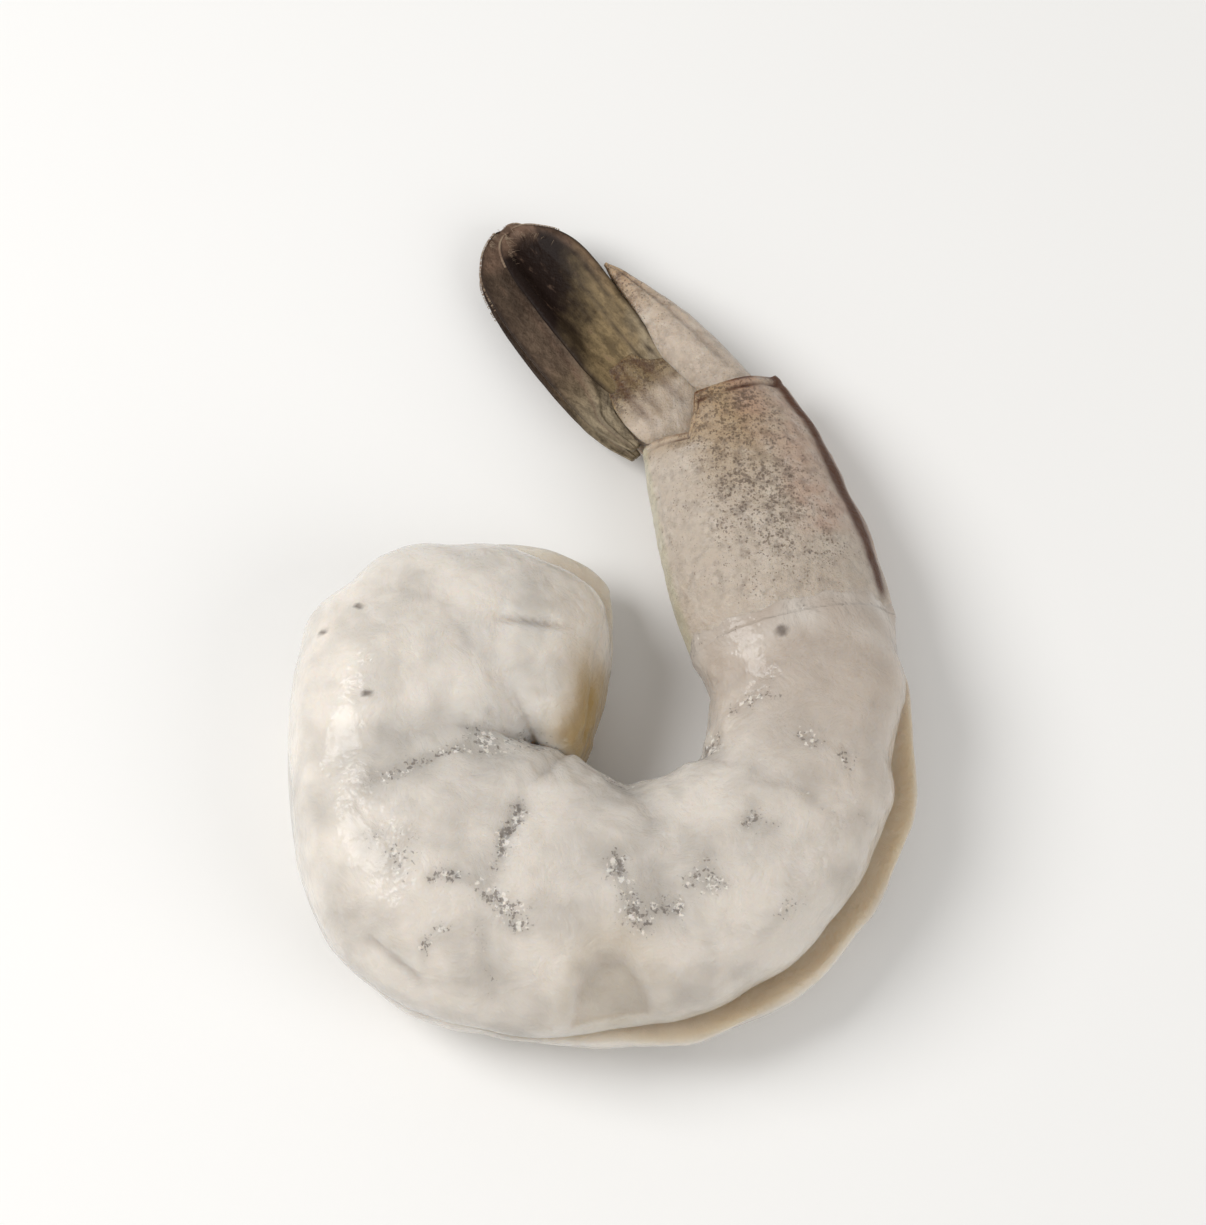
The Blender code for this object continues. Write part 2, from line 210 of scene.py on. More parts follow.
# The tail fan turns from the joint by its bearing and sinks to the table at its tip. Places
# along a blade are counted as shares of the fan's length.
FAN_LENGTH = 23.0
FAN_JOINT = (8.0, 17.0)
FAN_JOINT_HEIGHT = 4.8
FAN_BEARING = math.radians(130.7)
FAN_SINK_PER_MM = 0.105

OUTER_BLADE_EDGES = (
    (1.3, -5.0, -4.0),
    (3.2, -5.6, -3.8),
    (5.1, -5.9, -3.4),
    (6.6, -5.95, -1.4),
    (9.5, -5.85, 0.6),
    (13.7, -5.45, 1.6),
    (17.6, -4.8, 2.2),
    (20.5, -3.9, 2.1),
    (21.7, -3.0, 2.0),
    (22.5, -2.1, 1.8),
    (23.0, -1.1, 1.4),
    (23.2, -0.2, 0.8),
)
INNER_BLADE_EDGES = (
    (4.6, -2.6, 1.6),
    (5.9, -3.2, 2.2),
    (8.5, -3.5, 2.6),
    (11.5, -3.3, 3.0),
    (14.3, -3.0, 3.4),
    (17.2, -2.6, 3.6),
    (19.4, -2.1, 3.2),
    (20.8, -1.6, 2.4),
    (21.7, -1.0, 1.6),
    (22.1, -0.3, 0.7),
)
BLADES = (
    ("inner_blade_top", INNER_BLADE_EDGES, 1.1),
    ("outer_blade_top", OUTER_BLADE_EDGES, 0.0),
    ("inner_blade_bottom", INNER_BLADE_EDGES, -0.95),
    ("outer_blade_bottom", OUTER_BLADE_EDGES, -1.9),
)
BLADE_RINGS = 90
BLADE_ACROSS = 40
OUTER_RIM = 0.35
# Dark veins: share of the way across, strength and half width.
BLADE_VEINS = ((0.86, 0.8, 0.03), (0.7, 0.6, 0.028), (0.5, 0.4, 0.028))

FRINGE_STEPS = 70
HAIRS_PER_STEP = 3
HAIR_HALF_WIDTH = 0.022

TELSON_STATIONS = (
    (-0.6, 4.0, 2.0, -1.6, 2.9),
    (2.4, 3.85, 2.25, -1.3, 3.0),
    (6.0, 3.9, 2.05, -0.6, 2.8),
    (9.5, 4.1, 1.45, 0.0, 2.3),
    (12.8, 4.15, 0.8, 0.3, 1.8),
    (15.0, 4.15, 0.2, 0.6, 1.2),
)
TELSON_ROOT_SLANT = -0.27
TELSON_RINGS = 80
TELSON_POINTS = 72

BASE_PLATE_STATIONS = (
    (-0.9, -3.0, 1.0, 0.6),
    (0.3, -3.8, 1.7, 0.9),
    (1.4, -4.1, 2.1, 1.0),
    (3.3, -4.0, 2.2, 0.9),
    (5.0, -3.7, 2.1, 0.55),
    (6.4, -3.0, 1.5, 0.3),
    (7.5, -1.9, 0.6, 0.12),
)
BASE_PLATES = (("base_plate_top", 1.2), ("base_plate_bottom", -1.4))
BASE_PLATE_RINGS = 50
BASE_PLATE_POINTS = 56

SMOOTH = {"interpolation_type": "SMOOTHSTEP"}


def linear(hex_colour):
    """An sRGB hex colour as the linear values that shaders take."""
    parts = [int(hex_colour[k : k + 2], 16) / 255.0 for k in (1, 3, 5)]
    return tuple(p / 12.92 if p <= 0.04045 else ((p + 0.055) / 1.055) ** 2.4 for p in parts)


def length_of(label, text, default):
    return bpy.props.FloatProperty(
        name=label, description=text, default=default * MM, min=0.0, precision=5, unit="LENGTH"
    )


def colour_of(label, text, default):
    return bpy.props.FloatVectorProperty(
        name=label, description=text, default=linear(default), size=3, min=0.0, max=1.0, subtype="COLOR"
    )


class PrawnFleshSettings(bpy.types.PropertyGroup):
    """Sizes and colours of the peeled flesh"""

    slit_depth: length_of("Slit depth", "How deep the back is cut", 1.9)
    lip_setback: length_of("Lip setback", "How far the upper lip is drawn back from the lower one", 1.9)
    head_gape: length_of("Head end gape", "How far the lower half reaches past the upper one there", 2.6)
    lump_height: length_of("Lump height", "Height of the muscle's soft lumps", 0.34)
    lit: colour_of("Flesh", "Milky raw muscle", "#E3DCD3")
    grey: colour_of("Clear flesh", "Muscle where it is clearer and greyer", "#BBB5AD")
    rose: colour_of("Tail flesh", "Clearer, greyer pink muscle towards the tail", "#B1A294")
    cut: colour_of("Cut face", "The flesh that the knife laid bare", "#BDAC92")
    amber: colour_of("Thin flesh", "Thin flesh that the light shines through", "#A1854F")
    fleck: colour_of("Flecks", "Flecks of skin left along the creases", "#5E5249")
    # The white specks are painted glints of the wet surface.
    glint_specks: colour_of("Painted glints", "White specks painted in as glints among the flecks", "#F3EEE6")


class PrawnShellSettings(bpy.types.PropertyGroup):
    """Sizes and colours of the shell ring, the telson and the base plates"""

    rim: length_of("Rim thickness", "Thickness of the shell at its rear rim", 0.1)
    keel: length_of("Keel height", "Height of the ridge along the back", 0.7)
    shell: colour_of("Shell", "Clear shell over pale flesh, towards the belly", "#C0B3A4")
    tan: colour_of("Browned shell", "Shell with more pigment, towards the rear", "#AD9474")
    front: colour_of("Shell front", "Clear shell where only the flesh shows through", "#BFB1A2")
    milky: colour_of("Milky patches", "Paler flesh that shows through the shell", "#D2C7BA")
    blush: colour_of("Blush", "Pink tan towards the back and the rear", "#BC9580")
    speckle: colour_of("Speckles", "Dark pigment cells", "#4A3526")
    line: colour_of("Back line", "Dark line along the keel", "#502C14")
    # The pale belly edge also carries a painted edge highlight.
    strip: colour_of("Belly strip", "Pale strip along the belly edge, with a painted edge highlight", "#C6C2A2")
    telson: colour_of("Telson", "Pale middle piece of the tail", "#C6B6A5")


class PrawnFanSettings(bpy.types.PropertyGroup):
    """Sizes and colours of the tail fan's blades and their fringe"""

    thickness: length_of("Blade thickness", "Thickness of a blade at its middle", 0.5)
    edge: length_of("Edge thickness", "Thickness of a blade at its edge", 0.16)
    spoon_rim: length_of("Spoon rim", "How high the inner blade's belly-side rim stands", 1.0)
    fringe: length_of("Fringe length", "Length of the hairs round the blades", 1.1)
    dark: colour_of("Dark blade", "Near-black brown towards the tip", "#190B04")
    olive: colour_of("Olive blade", "Olive brown nearer the joint", "#8B7756")
    pale: colour_of("Pale blade", "Pale tan at the root", "#A2937A")
    mauve: colour_of("Outer blade", "Grey mauve of the outer blades", "#6E5C4C")
    rim: colour_of("Blade rim", "Clearer pink brown rim", "#7D6453")
    hair: colour_of("Fringe", "Red-brown hairs", "#6E4A3C")


class PrawnStageSettings(bpy.types.PropertyGroup):
    """The floor, the lights and the camera"""

    floor: colour_of("Floor", "Pale floor", "#F4F3F1")
    floor_size: length_of("Floor size", "Side of the square floor", 1600.0)
    key_power: bpy.props.FloatProperty(
        name="Key light", description="Soft light from the upper left", default=1.3, min=0.0, unit="POWER"
    )
    fill_power: bpy.props.FloatProperty(
        name="Fill light", description="Soft light from the right", default=0.6, min=0.0, unit="POWER"
    )
    sky: bpy.props.FloatProperty(
        name="Room light", description="Strength of the even light of the room", default=0.475, min=0.0
    )
    elevation: bpy.props.FloatProperty(
        name="Camera elevation",
        description="Angle between the view and the plane of the prawn's curl, judged by eye",
        default=math.radians(69.0),
        subtype="ANGLE",
    )
    distance: length_of("Camera distance", "Distance from the prawn to the camera", 390.0)


def smoothstep(low, high, value):
    t = np.clip((value - low) / (high - low), 0.0, 1.0)
    return t * t * (3.0 - 2.0 * t)


def bump(value, middle, half_width):
    """One soft hump, 1 at its middle."""
    return np.exp(-(((value - middle) / half_width) ** 2))


def through(rows, position):
    """A smooth curve through rows of numbers, read at a position counted in rows."""
    rows = np.asarray(rows, float)
    last = len(rows) - 1
    i = int(min(max(math.floor(position), 0), last - 1))
    t = position - i
    before = rows[i - 1] if i > 0 else 2.0 * rows[i] - rows[i + 1]
    after = rows[i + 2] if i + 2 <= last else 2.0 * rows[i + 1] - rows[i]
    tangent_a = (rows[i + 1] - before) / 2.0
    tangent_b = (after - rows[i]) / 2.0
    return (
        (2 * t**3 - 3 * t**2 + 1) * rows[i]
        + (t**3 - 2 * t**2 + t) * tangent_a
        + (3 * t**2 - 2 * t**3) * rows[i + 1]
        + (t**3 - t**2) * tangent_b
    )


def spaced(points, count):
    """count points spaced evenly along an open line, its first point among them."""
    steps = np.linalg.norm(np.diff(points, axis=0), axis=1)
    distance = np.concatenate([[0.0], np.cumsum(steps)])
    wanted = np.linspace(0.0, distance[-1], count, endpoint=False)
    return np.stack([np.interp(wanted, distance, points[:, k]) for k in (0, 1)], axis=1)


def station(stations, position):
    """Belly point, unit vector to the back, depth and half width at a position."""
    flat = [(*belly, *back, half) for belly, back, half in stations]
    row = through(flat, position)
    belly, back = row[0:2], row[2:4]
    depth = float(np.linalg.norm(back - belly))
    return belly, (back - belly) / depth, depth, float(row[4])


def lumps(points, size, seed):
    """Smooth noise between about -1 and 1, in lumps of a size in millimetres."""
    shift = Vector((seed * 17.3, seed * 5.1, seed * 9.7))
    flat = np.asarray(points, float).reshape(-1, 3) / size
    values = np.fromiter((noise.noise(Vector(p) + shift) for p in flat), float, len(flat))
    return values.reshape(np.shape(points)[:-1])


def ripple(position, size, seed):
    """The same noise along one line."""
    return float(noise.noise(Vector((position / size, seed * 7.7, seed * 3.1))))


def in_plane(section, belly, to_back, mid_height, forward=0.0):
    """A section stood upright on its station, moved forward along the body."""
    along = np.array([-to_back[1], to_back[0]])
    flat = belly + section[:, :1] * to_back + np.reshape(forward, (-1, 1)) * along
    return np.column_stack([flat, section[:, 1] + mid_height])


def inset(section, amount):
    """A section drawn in by an amount on every side."""
    low, high = section.min(axis=0), section.max(axis=0)
    centre, reach = (low + high) / 2.0, (high - low) / 2.0
    return centre + (section - centre) * (reach - amount) / reach


def outward(rings):
    """Unit normals of a closed grid of rings, facing out."""
    along = np.gradient(rings, axis=0)
    around = np.roll(rings, -1, axis=1) - np.roll(rings, 1, axis=1)
    normal = np.cross(along, around)
    normal /= np.maximum(np.linalg.norm(normal, axis=2, keepdims=True), 1e-9)
    from_centre = rings - rings.mean(axis=1, keepdims=True)
    if np.sum(normal * from_centre) < 0.0:
        normal = -normal
    return normal


def solid(name, rings, values, material, node, slot):
    """A closed piece through rings of points, with a value a point for each named attribute."""
    rows, columns = rings.shape[:2]
    points = np.concatenate([rings.reshape(-1, 3), [rings[0].mean(axis=0), rings[-1].mean(axis=0)]])
    points = (points - np.array([*CURL_CENTRE, 0.0])) * MM
    index = np.arange(rows * columns).reshape(rows, columns)
    turned = np.roll(index, -1, axis=1)
    quads = np.stack([index[:-1], turned[:-1], turned[1:], index[1:]], axis=-1).reshape(-1, 4)
    ends = []
    for row, centre in ((0, rows * columns), (-1, rows * columns + 1)):
        ends += [(int(a), int(b), centre) for a, b in zip(index[row], turned[row])]
    mesh = bpy.data.meshes.new(name)
    mesh.from_pydata(points.tolist(), [], quads.tolist() + ends)
    work = bmesh.new()
    work.from_mesh(mesh)
    bmesh.ops.recalc_face_normals(work, faces=work.faces)
    if work.calc_volume(signed=True) < 0.0:
        bmesh.ops.reverse_faces(work, faces=work.faces)
    work.to_mesh(mesh)
    work.free()
    for label, grid in values.items():
        grid = np.broadcast_to(np.asarray(grid, float), (rows, columns))
        flat = np.concatenate([grid.ravel(), [grid[0].mean(), grid[-1].mean()]])
        layer = mesh.attributes.new(label, "FLOAT", "POINT")
        layer.data.foreach_set("value", flat.astype(np.float32))
    mesh.shade_smooth()
    return placed(name, mesh, material, slot, node)


def placed(name, mesh, material, slot, *nodes):
    """A piece in the scene, riding on the prawn's one body and standing for its solids."""
    piece = bpy.data.objects.new(name, mesh)
    bpy.context.scene.collection.objects.link(piece)
    mesh.materials.append(material)
    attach(piece, "root")
    if nodes:
        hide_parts(*nodes)
    return piece


def add_node(tree, kind, inputs=None, **settings):
    """Adds a node with its settings. inputs holds a value, a socket or a node for each input.

    A node stands for the first of its outputs that is in use.
    """
    node = tree.nodes.new("ShaderNode" + kind)
    for name, value in settings.items():
        setattr(node, name, value)
    for key, value in (inputs or {}).items():
        if isinstance(value, bpy.types.Node):
            value = next(output for output in value.outputs if output.enabled)
        if isinstance(value, bpy.types.NodeSocket):
            tree.links.new(value, node.inputs[key])
        else:
            node.inputs[key].default_value = value
    return node


def new_material(name, *fields):
    """An empty material, its node tree, the place of each point, and the fields it reads there."""
    made = bpy.data.materials.new(name)
    made.use_nodes = True
    tree = made.node_tree
    tree.nodes.clear()
    place = add_node(tree, "NewGeometry").outputs["Position"]
    read = [add_node(tree, "Attribute", attribute_name=field).outputs["Fac"] for field in fields]
    return made, tree, place, *read


def layered(tree, ground, layers):
    """A colour with others laid over it in turn, each by its share at each point."""
    colour = (*ground, 1.0)
    for share, over in layers:
        colour = add_node(tree, "Mix", {0: share, 6: colour, 7: (*over, 1.0)}, data_type="RGBA")
    return colour


def ragged_place(tree, place, scale, reach):
    """The place of each point, pushed about so that round spots get ragged outlines."""
    push = add_node(tree, "TexNoise", {"Vector": place, "Scale": scale, "Detail": 2.0}).outputs["Color"]
    return add_node(tree, "VectorMath", {0: push, 1: (reach,) * 3, 2: place}, operation="MULTIPLY_ADD")


def spots(tree, place, thick, scale, widest, least, edge, shown, channel=0):
    """Spots of many sizes, from 0 to shown. They are more and wider where thick is high."""
    grains = add_node(tree, "TexVoronoi", {"Vector": place, "Scale": scale})
    size = add_node(tree, "SeparateColor", {"Color": grains.outputs["Color"]}).outputs[channel]
    reach = add_node(tree, "Math", {0: thick, 1: size}, operation="MULTIPLY")
    inside = add_node(tree, "Math", {0: reach, 1: widest, 2: -least}, operation="MULTIPLY_ADD")
    away = add_node(tree, "Math", {0: inside, 1: grains.outputs["Distance"]}, operation="SUBTRACT")
    soft = {"Value": away, "From Min": -edge[0], "From Max": edge[1], "To Max": shown}
    return add_node(tree, "MapRange", soft, **SMOOTH)


def raw_muscle(settings):
    """Raw prawn muscle, peeled by hand and wet.

    Light goes a few millimetres into it, so edges glow and shadows stay soft. It is milky
    where the muscle is thick and clearer and greyer between the muscles; that grey is also
    painted into the creases and grooves as painted shade. A film of water gives small sharp
    glints over a dull surface, and white specks among the flecks are painted glints.
    """
    material, tree, place, cut, thin, fleck, dot, crease, tailward, tethered = new_material(
        "raw_prawn_muscle_peeled_wet", "cut", "thin", "fleck", "dot", "crease", "tailward", "tethered"
    )

    # Milky and clear patches are 5 to 10 mm across, with clouds of 2 to 4 mm in them.
    patches = add_node(tree, "TexNoise", {"Vector": place, "Scale": 120.0, "Detail": 1.0, "Roughness": 0.4})
    spread = {"Value": patches, "From Min": 0.36, "From Max": 0.72, "To Max": 0.5}
    clear = add_node(tree, "MapRange", spread, **SMOOTH)
    fine = add_node(tree, "TexNoise", {"Vector": place, "Scale": 300.0, "Detail": 2.0, "Roughness": 0.5})
    spread = {"Value": fine, "From Min": 0.34, "From Max": 0.7, "To Min": -0.15, "To Max": 0.35}
    clouds = add_node(tree, "MapRange", spread, **SMOOTH)
    clouded = add_node(tree, "Math", {0: clear, 1: clouds}, operation="ADD")
    # Creases and grooves take the grey as painted shade, on top of the clearer flesh between the muscles.
    clouds_and_crease_shade = add_node(tree, "Math", {0: clouded, 1: crease}, operation="ADD", use_clamp=True)
    hazed = add_node(tree, "Math", {0: fleck, 1: 0.6, 2: clouds_and_crease_shade}, operation="MULTIPLY_ADD", use_clamp=True)

    # Flecks of skin are 0.15 to 0.4 mm across, in two sizes, with painted glints, small white specks, between
    # them.
    ragged = ragged_place(tree, place, 3200.0, 0.0006)
    spotted = dot
    for scale, widest in ((1700.0, 0.5), (3100.0, 0.8)):
        flecks = spots(tree, ragged, fleck, scale, widest, 0.06, (0.12, 0.2), 0.6)
        spotted = add_node(tree, "Math", {0: flecks, 1: spotted}, operation="MAXIMUM")
    # White specks among the flecks: painted glints of the water film.
    painted_glints = spots(tree, ragged, fleck, 2500.0, 1.0, 0.16, (0.12, 0.28), 0.65, channel=1)
    layers = (
        (hazed, settings.grey),
        (tailward, settings.rose),
        (cut, settings.cut),
        (thin, settings.amber),
        (painted_glints, settings.glint_specks),
        (spotted, settings.fleck),
    )
    colour = layered(tree, settings.lit, layers)

    # Soft wrinkles of 3 mm, a water film with waves of 1.2 mm, and grain of 0.35 mm.
    wrinkled = {"Vector": place, "Scale": 340.0, "Detail": 5.0, "Roughness": 0.6, "Distortion": 0.6}
    folds = add_node(tree, "TexNoise", wrinkled)
    film = add_node(tree, "TexNoise", {"Vector": place, "Scale": 850.0, "Detail": 2.0, "Roughness": 0.6})
    grain = add_node(tree, "TexNoise", {"Vector": place, "Scale": 2900.0, "Detail": 1.0})
    rough = add_node(tree, "Math", {0: film, 1: 0.34, 2: folds}, operation="MULTIPLY_ADD")
    relief = add_node(tree, "Math", {0: grain, 1: 0.07, 2: rough}, operation="MULTIPLY_ADD")
    skin = add_node(tree, "Bump", {"Height": relief, "Strength": 0.85, "Distance": 0.00065})
    beads = add_node(tree, "Math", {0: grain, 1: fleck}, operation="MULTIPLY")
    beaded = add_node(tree, "Math", {0: beads, 1: 0.8, 2: film}, operation="MULTIPLY_ADD")
    water = add_node(tree, "Bump", {"Height": beaded, "Strength": 0.6, "Distance": 0.00025})
    spread = {"Value": film, "From Min": 0.3, "From Max": 0.7, "To Min": 0.4, "To Max": 0.6}
    dull = add_node(tree, "MapRange", spread)
    # Where the shell covers the flesh little light comes from within, so it scatters less there.
    scatter = add_node(tree, "Math", {0: tethered, 1: -0.85, 2: 0.9}, operation="MULTIPLY_ADD")
    look = {
        "Base Color": colour,
        "Roughness": dull,
        "IOR": 1.38,
        "Subsurface Weight": scatter,
        "Subsurface Radius": (1.0, 0.82, 0.62),
        "Subsurface Scale": 0.0042,
        "Coat Weight": 0.75,
        "Coat Roughness": 0.07,
        "Coat Normal": water,
        "Coat IOR": 1.33,
        "Normal": skin,
    }
    shader = add_node(tree, "BsdfPrincipled", look, subsurface_method="RANDOM_WALK")
    add_node(tree, "OutputMaterial", {"Surface": shader})
    return material


def clear_shell(settings, name, ground, browned_to, speckle_gain):
    """Clear shell over flesh, grown and wet.

    It shows the flesh through it, freckled with pigment cells of 0.1 to 0.3 mm, which are
    drawn a little coarser so that they show. Its film of water is thinner than the flesh's,
    so its glints are fainter and less sharp.
    """
    material, tree, place, pale, blush, dense, line, front, browned = new_material(
        name, "pale", "blush", "dense", "line", "front", "browned"
    )

    # Pink patches are about 3 mm across. Pale flesh shows through in clouds of 1 to 2 mm, less
    # where the shell is brown.
    patches = add_node(tree, "TexNoise", {"Vector": place, "Scale": 330.0, "Detail": 3.0})
    warm = add_node(tree, "Math", {0: patches, 1: blush}, operation="MULTIPLY")
    spread = {"Value": warm, "From Min": 0.2, "From Max": 0.6, "To Max": 0.5}
    warmth = add_node(tree, "MapRange", spread, **SMOOTH)
    clouds = add_node(tree, "TexNoise", {"Vector": place, "Scale": 620.0, "Detail": 4.0, "Roughness": 0.6})
    spread = {"Value": clouds, "From Min": 0.48, "From Max": 0.7, "To Max": 0.55}
    cloudy = add_node(tree, "MapRange", spread, **SMOOTH)
    unbrowned = add_node(tree, "Math", {0: browned, 1: -0.8, 2: 1.0}, operation="MULTIPLY_ADD")
    paler = add_node(tree, "Math", {0: cloudy, 1: unbrowned}, operation="MULTIPLY")

    # Two sizes of pigment cell, with denser and barer patches of 2 mm.
    bands = add_node(tree, "TexNoise", {"Vector": place, "Scale": 480.0, "Detail": 2.0})
    spread = {"Value": bands, "From Min": 0.35, "From Max": 0.65, "To Min": 0.6, "To Max": 1.1}
    uneven = add_node(tree, "MapRange", spread)
    thick = add_node(tree, "Math", {0: dense, 1: uneven}, operation="MULTIPLY")
    ragged = ragged_place(tree, place, 4200.0, 0.0004)
    large, small = (
        spots(tree, ragged, thick, scale, widest * speckle_gain, 0.05, (0.08, 0.18), 0.6)
        for scale, widest in ((2900.0, 0.72), (4600.0, 0.95))
    )
    cell = add_node(tree, "Math", {0: large, 1: small}, operation="MAXIMUM")
    haze = add_node(tree, "TexNoise", {"Vector": place, "Scale": 1300.0, "Detail": 3.0, "Roughness": 0.65})
    spread = {"Value": haze, "From Min": 0.42, "From Max": 0.7, "To Max": 0.65}
    hazy = add_node(tree, "MapRange", spread, **SMOOTH)
    mottled = add_node(tree, "Math", {0: hazy, 1: thick}, operation="MULTIPLY")
    layers = (
        (browned, browned_to),
        (warmth, settings.blush),
        (front, settings.front),
        (paler, settings.milky),
        (pale, settings.strip),
        (mottled, settings.speckle),
        (cell, settings.speckle),
        (line, settings.line),
    )
    colour = layered(tree, ground, layers)

    # Shallow wrinkles of about 1.5 mm and grain of about 0.3 mm.
    grain = add_node(tree, "TexNoise", {"Vector": place, "Scale": 750.0, "Detail": 5.0, "Roughness": 0.7})
    skin = add_node(tree, "Bump", {"Height": grain, "Strength": 0.8, "Distance": 0.0005})
    wet = add_node(tree, "Math", {0: line, 1: -0.4, 2: 0.4}, operation="MULTIPLY_ADD")
    look = {
        "Base Color": colour,
        "Roughness": 0.42,
        "IOR": 1.38,
        "Subsurface Weight": 0.6,
        "Subsurface Radius": (1.0, 0.75, 0.5),
        "Subsurface Scale": 0.0007,
        "Coat Weight": wet,
        "Coat Roughness": 0.12,
        "Coat IOR": 1.33,
        "Normal": skin,
        "Coat Normal": skin,
    }
    shader = add_node(tree, "BsdfPrincipled", look, subsurface_method="RANDOM_WALK")
    add_node(tree, "OutputMaterial", {"Surface": shader})
    return material


def dark_blade(settings):
    """A tail blade: thin shell with dark pigment, grown and wet.

    It goes from pale tan at the root through olive to near-black brown at the tip, mottled
    by pigment cells of 0.2 to 0.5 mm, and its palest streaks are painted glints. Water lies on
    it only as a trace, so it looks almost dull and its dark stays deep.
    """
    material, tree, place, darker, greener, mauve, rim, line = new_material(
        "tail_blade_shell_pigmented_wet", "darker", "greener", "mauve", "rim", "line"
    )

    # Mottling runs along the blade, 0.5 to 1 mm across and three times as long.
    turned = {"Vector": place, "Rotation": (0.0, 0.0, FAN_BEARING), "Scale": (3.0, 1.0, 1.0)}
    drawn_out = add_node(tree, "Mapping", turned, vector_type="TEXTURE")
    streaked = {"Vector": drawn_out, "Scale": 1300.0, "Detail": 4.0, "Roughness": 0.7}
    streaks = add_node(tree, "TexNoise", streaked)
    spread = {"Value": streaks, "From Min": 0.4, "From Max": 0.62, "To Max": 0.42}
    streaky = add_node(tree, "MapRange", spread, **SMOOTH)
    # The palest streaks are painted glints, laid on in the rim colour.
    spread = {"Value": streaks, "From Min": 0.44, "From Max": 0.28, "To Max": 0.4}
    wear_and_glints = add_node(tree, "MapRange", spread, **SMOOTH)
    cells = add_node(tree, "TexNoise", {"Vector": place, "Scale": 2100.0, "Detail": 2.0, "Roughness": 0.7})
    spread = {"Value": cells, "From Min": 0.5, "From Max": 0.72, "To Max": 0.3}
    cell = add_node(tree, "MapRange", spread, **SMOOTH)
    layers = (
        (greener, settings.olive),
        (mauve, settings.mauve),
        (darker, settings.dark),
        (rim, settings.rim),
        (streaky, settings.dark),
        (wear_and_glints, settings.rim),
        (cell, settings.dark),
        (line, settings.dark),
    )
    skin = add_node(tree, "Bump", {"Height": cells, "Strength": 0.8, "Distance": 0.00018})
    look = {
        "Base Color": layered(tree, settings.pale, layers),
        "Roughness": 0.6,
        "IOR": 1.25,
        "Coat Weight": 0.04,
        "Coat Roughness": 0.12,
        "Coat IOR": 1.33,
        "Normal": skin,
    }
    shader = add_node(tree, "BsdfPrincipled", look)
    add_node(tree, "OutputMaterial", {"Surface": shader})
    return material


def hair_fringe(settings):
    """Fine hairs of shell, grown: thin, red brown and a little glossy."""
    material, tree, place = new_material("fringe_hair_grown")
    tone = add_node(tree, "TexNoise", {"Vector": place, "Scale": 900.0})
    colour = layered(tree, settings.hair, ((tone, settings.pale),))
    shader = add_node(tree, "BsdfPrincipled", {"Base Color": colour, "Roughness": 0.45, "IOR": 1.5})
    add_node(tree, "OutputMaterial", {"Surface": shader})
    return material


def pale_board(settings):
    """A pale painted board, rolled flat, which gives an even light ground."""
    material, tree, place = new_material("floor_board_painted_matt")
    grain = add_node(tree, "TexNoise", {"Vector": place, "Scale": 260.0, "Detail": 4.0})
    skin = add_node(tree, "Bump", {"Height": grain, "Strength": 0.1, "Distance": 0.0001})
    look = {"Base Color": (*settings.floor, 1.0), "Roughness": 0.55, "Normal": skin}
    add_node(tree, "OutputMaterial", {"Surface": add_node(tree, "BsdfPrincipled", look)})
    return material


def half_oval(back_reach, belly_reach, half_width, sign, lip_height, sliced=0.0):
    """Half a section, from the belly to the lip of the slit, as (towards the back, up)."""
    lip_angle = math.asin((lip_height / half_width) ** (SECTION_POWER / 2.0))
    angles = np.linspace(math.pi, lip_angle, 240)
    c, s = np.cos(angles), np.sin(angles)
    across = np.sign(c) * np.abs(c) ** (2.0 / SECTION_POWER)
    up = np.abs(s) ** (2.0 / SECTION_POWER)
    back = back_reach - sliced * smoothstep(0.0, 0.85, up) ** 0.55
    reach = np.where(across > 0.0, back, belly_reach)
    return np.stack([across * reach, sign * up * half_width], axis=1)


def back_gape(position):
    """How open the slit is along the right of the curl, from 0 to 1."""
    opening = smoothstep(LIP_SETBACK_FROM, LIP_SETBACK_FULL, position)
    return opening * (1.0 - smoothstep(SLIT_END_STATION - 1.6, SLIT_END_STATION, position))


def head_gape(position):
    """How open the slit is at the head end, from 0 to 1."""
    return 1.0 - smoothstep(0.2, HEAD_GAPE_STATIONS, position)


def belly_swell(position):
    """How far the belly side swells past its station where the ends of the curl press together."""
    return float(np.interp(position, *np.array(BELLY_SWELL).T))


def scoop_setback(position):
    """How far the slope is sliced into the upper half above its lip."""
    return SCOOP_SETBACK * bump(position, SCOOP_STATION, SCOOP_HALF_STATIONS)


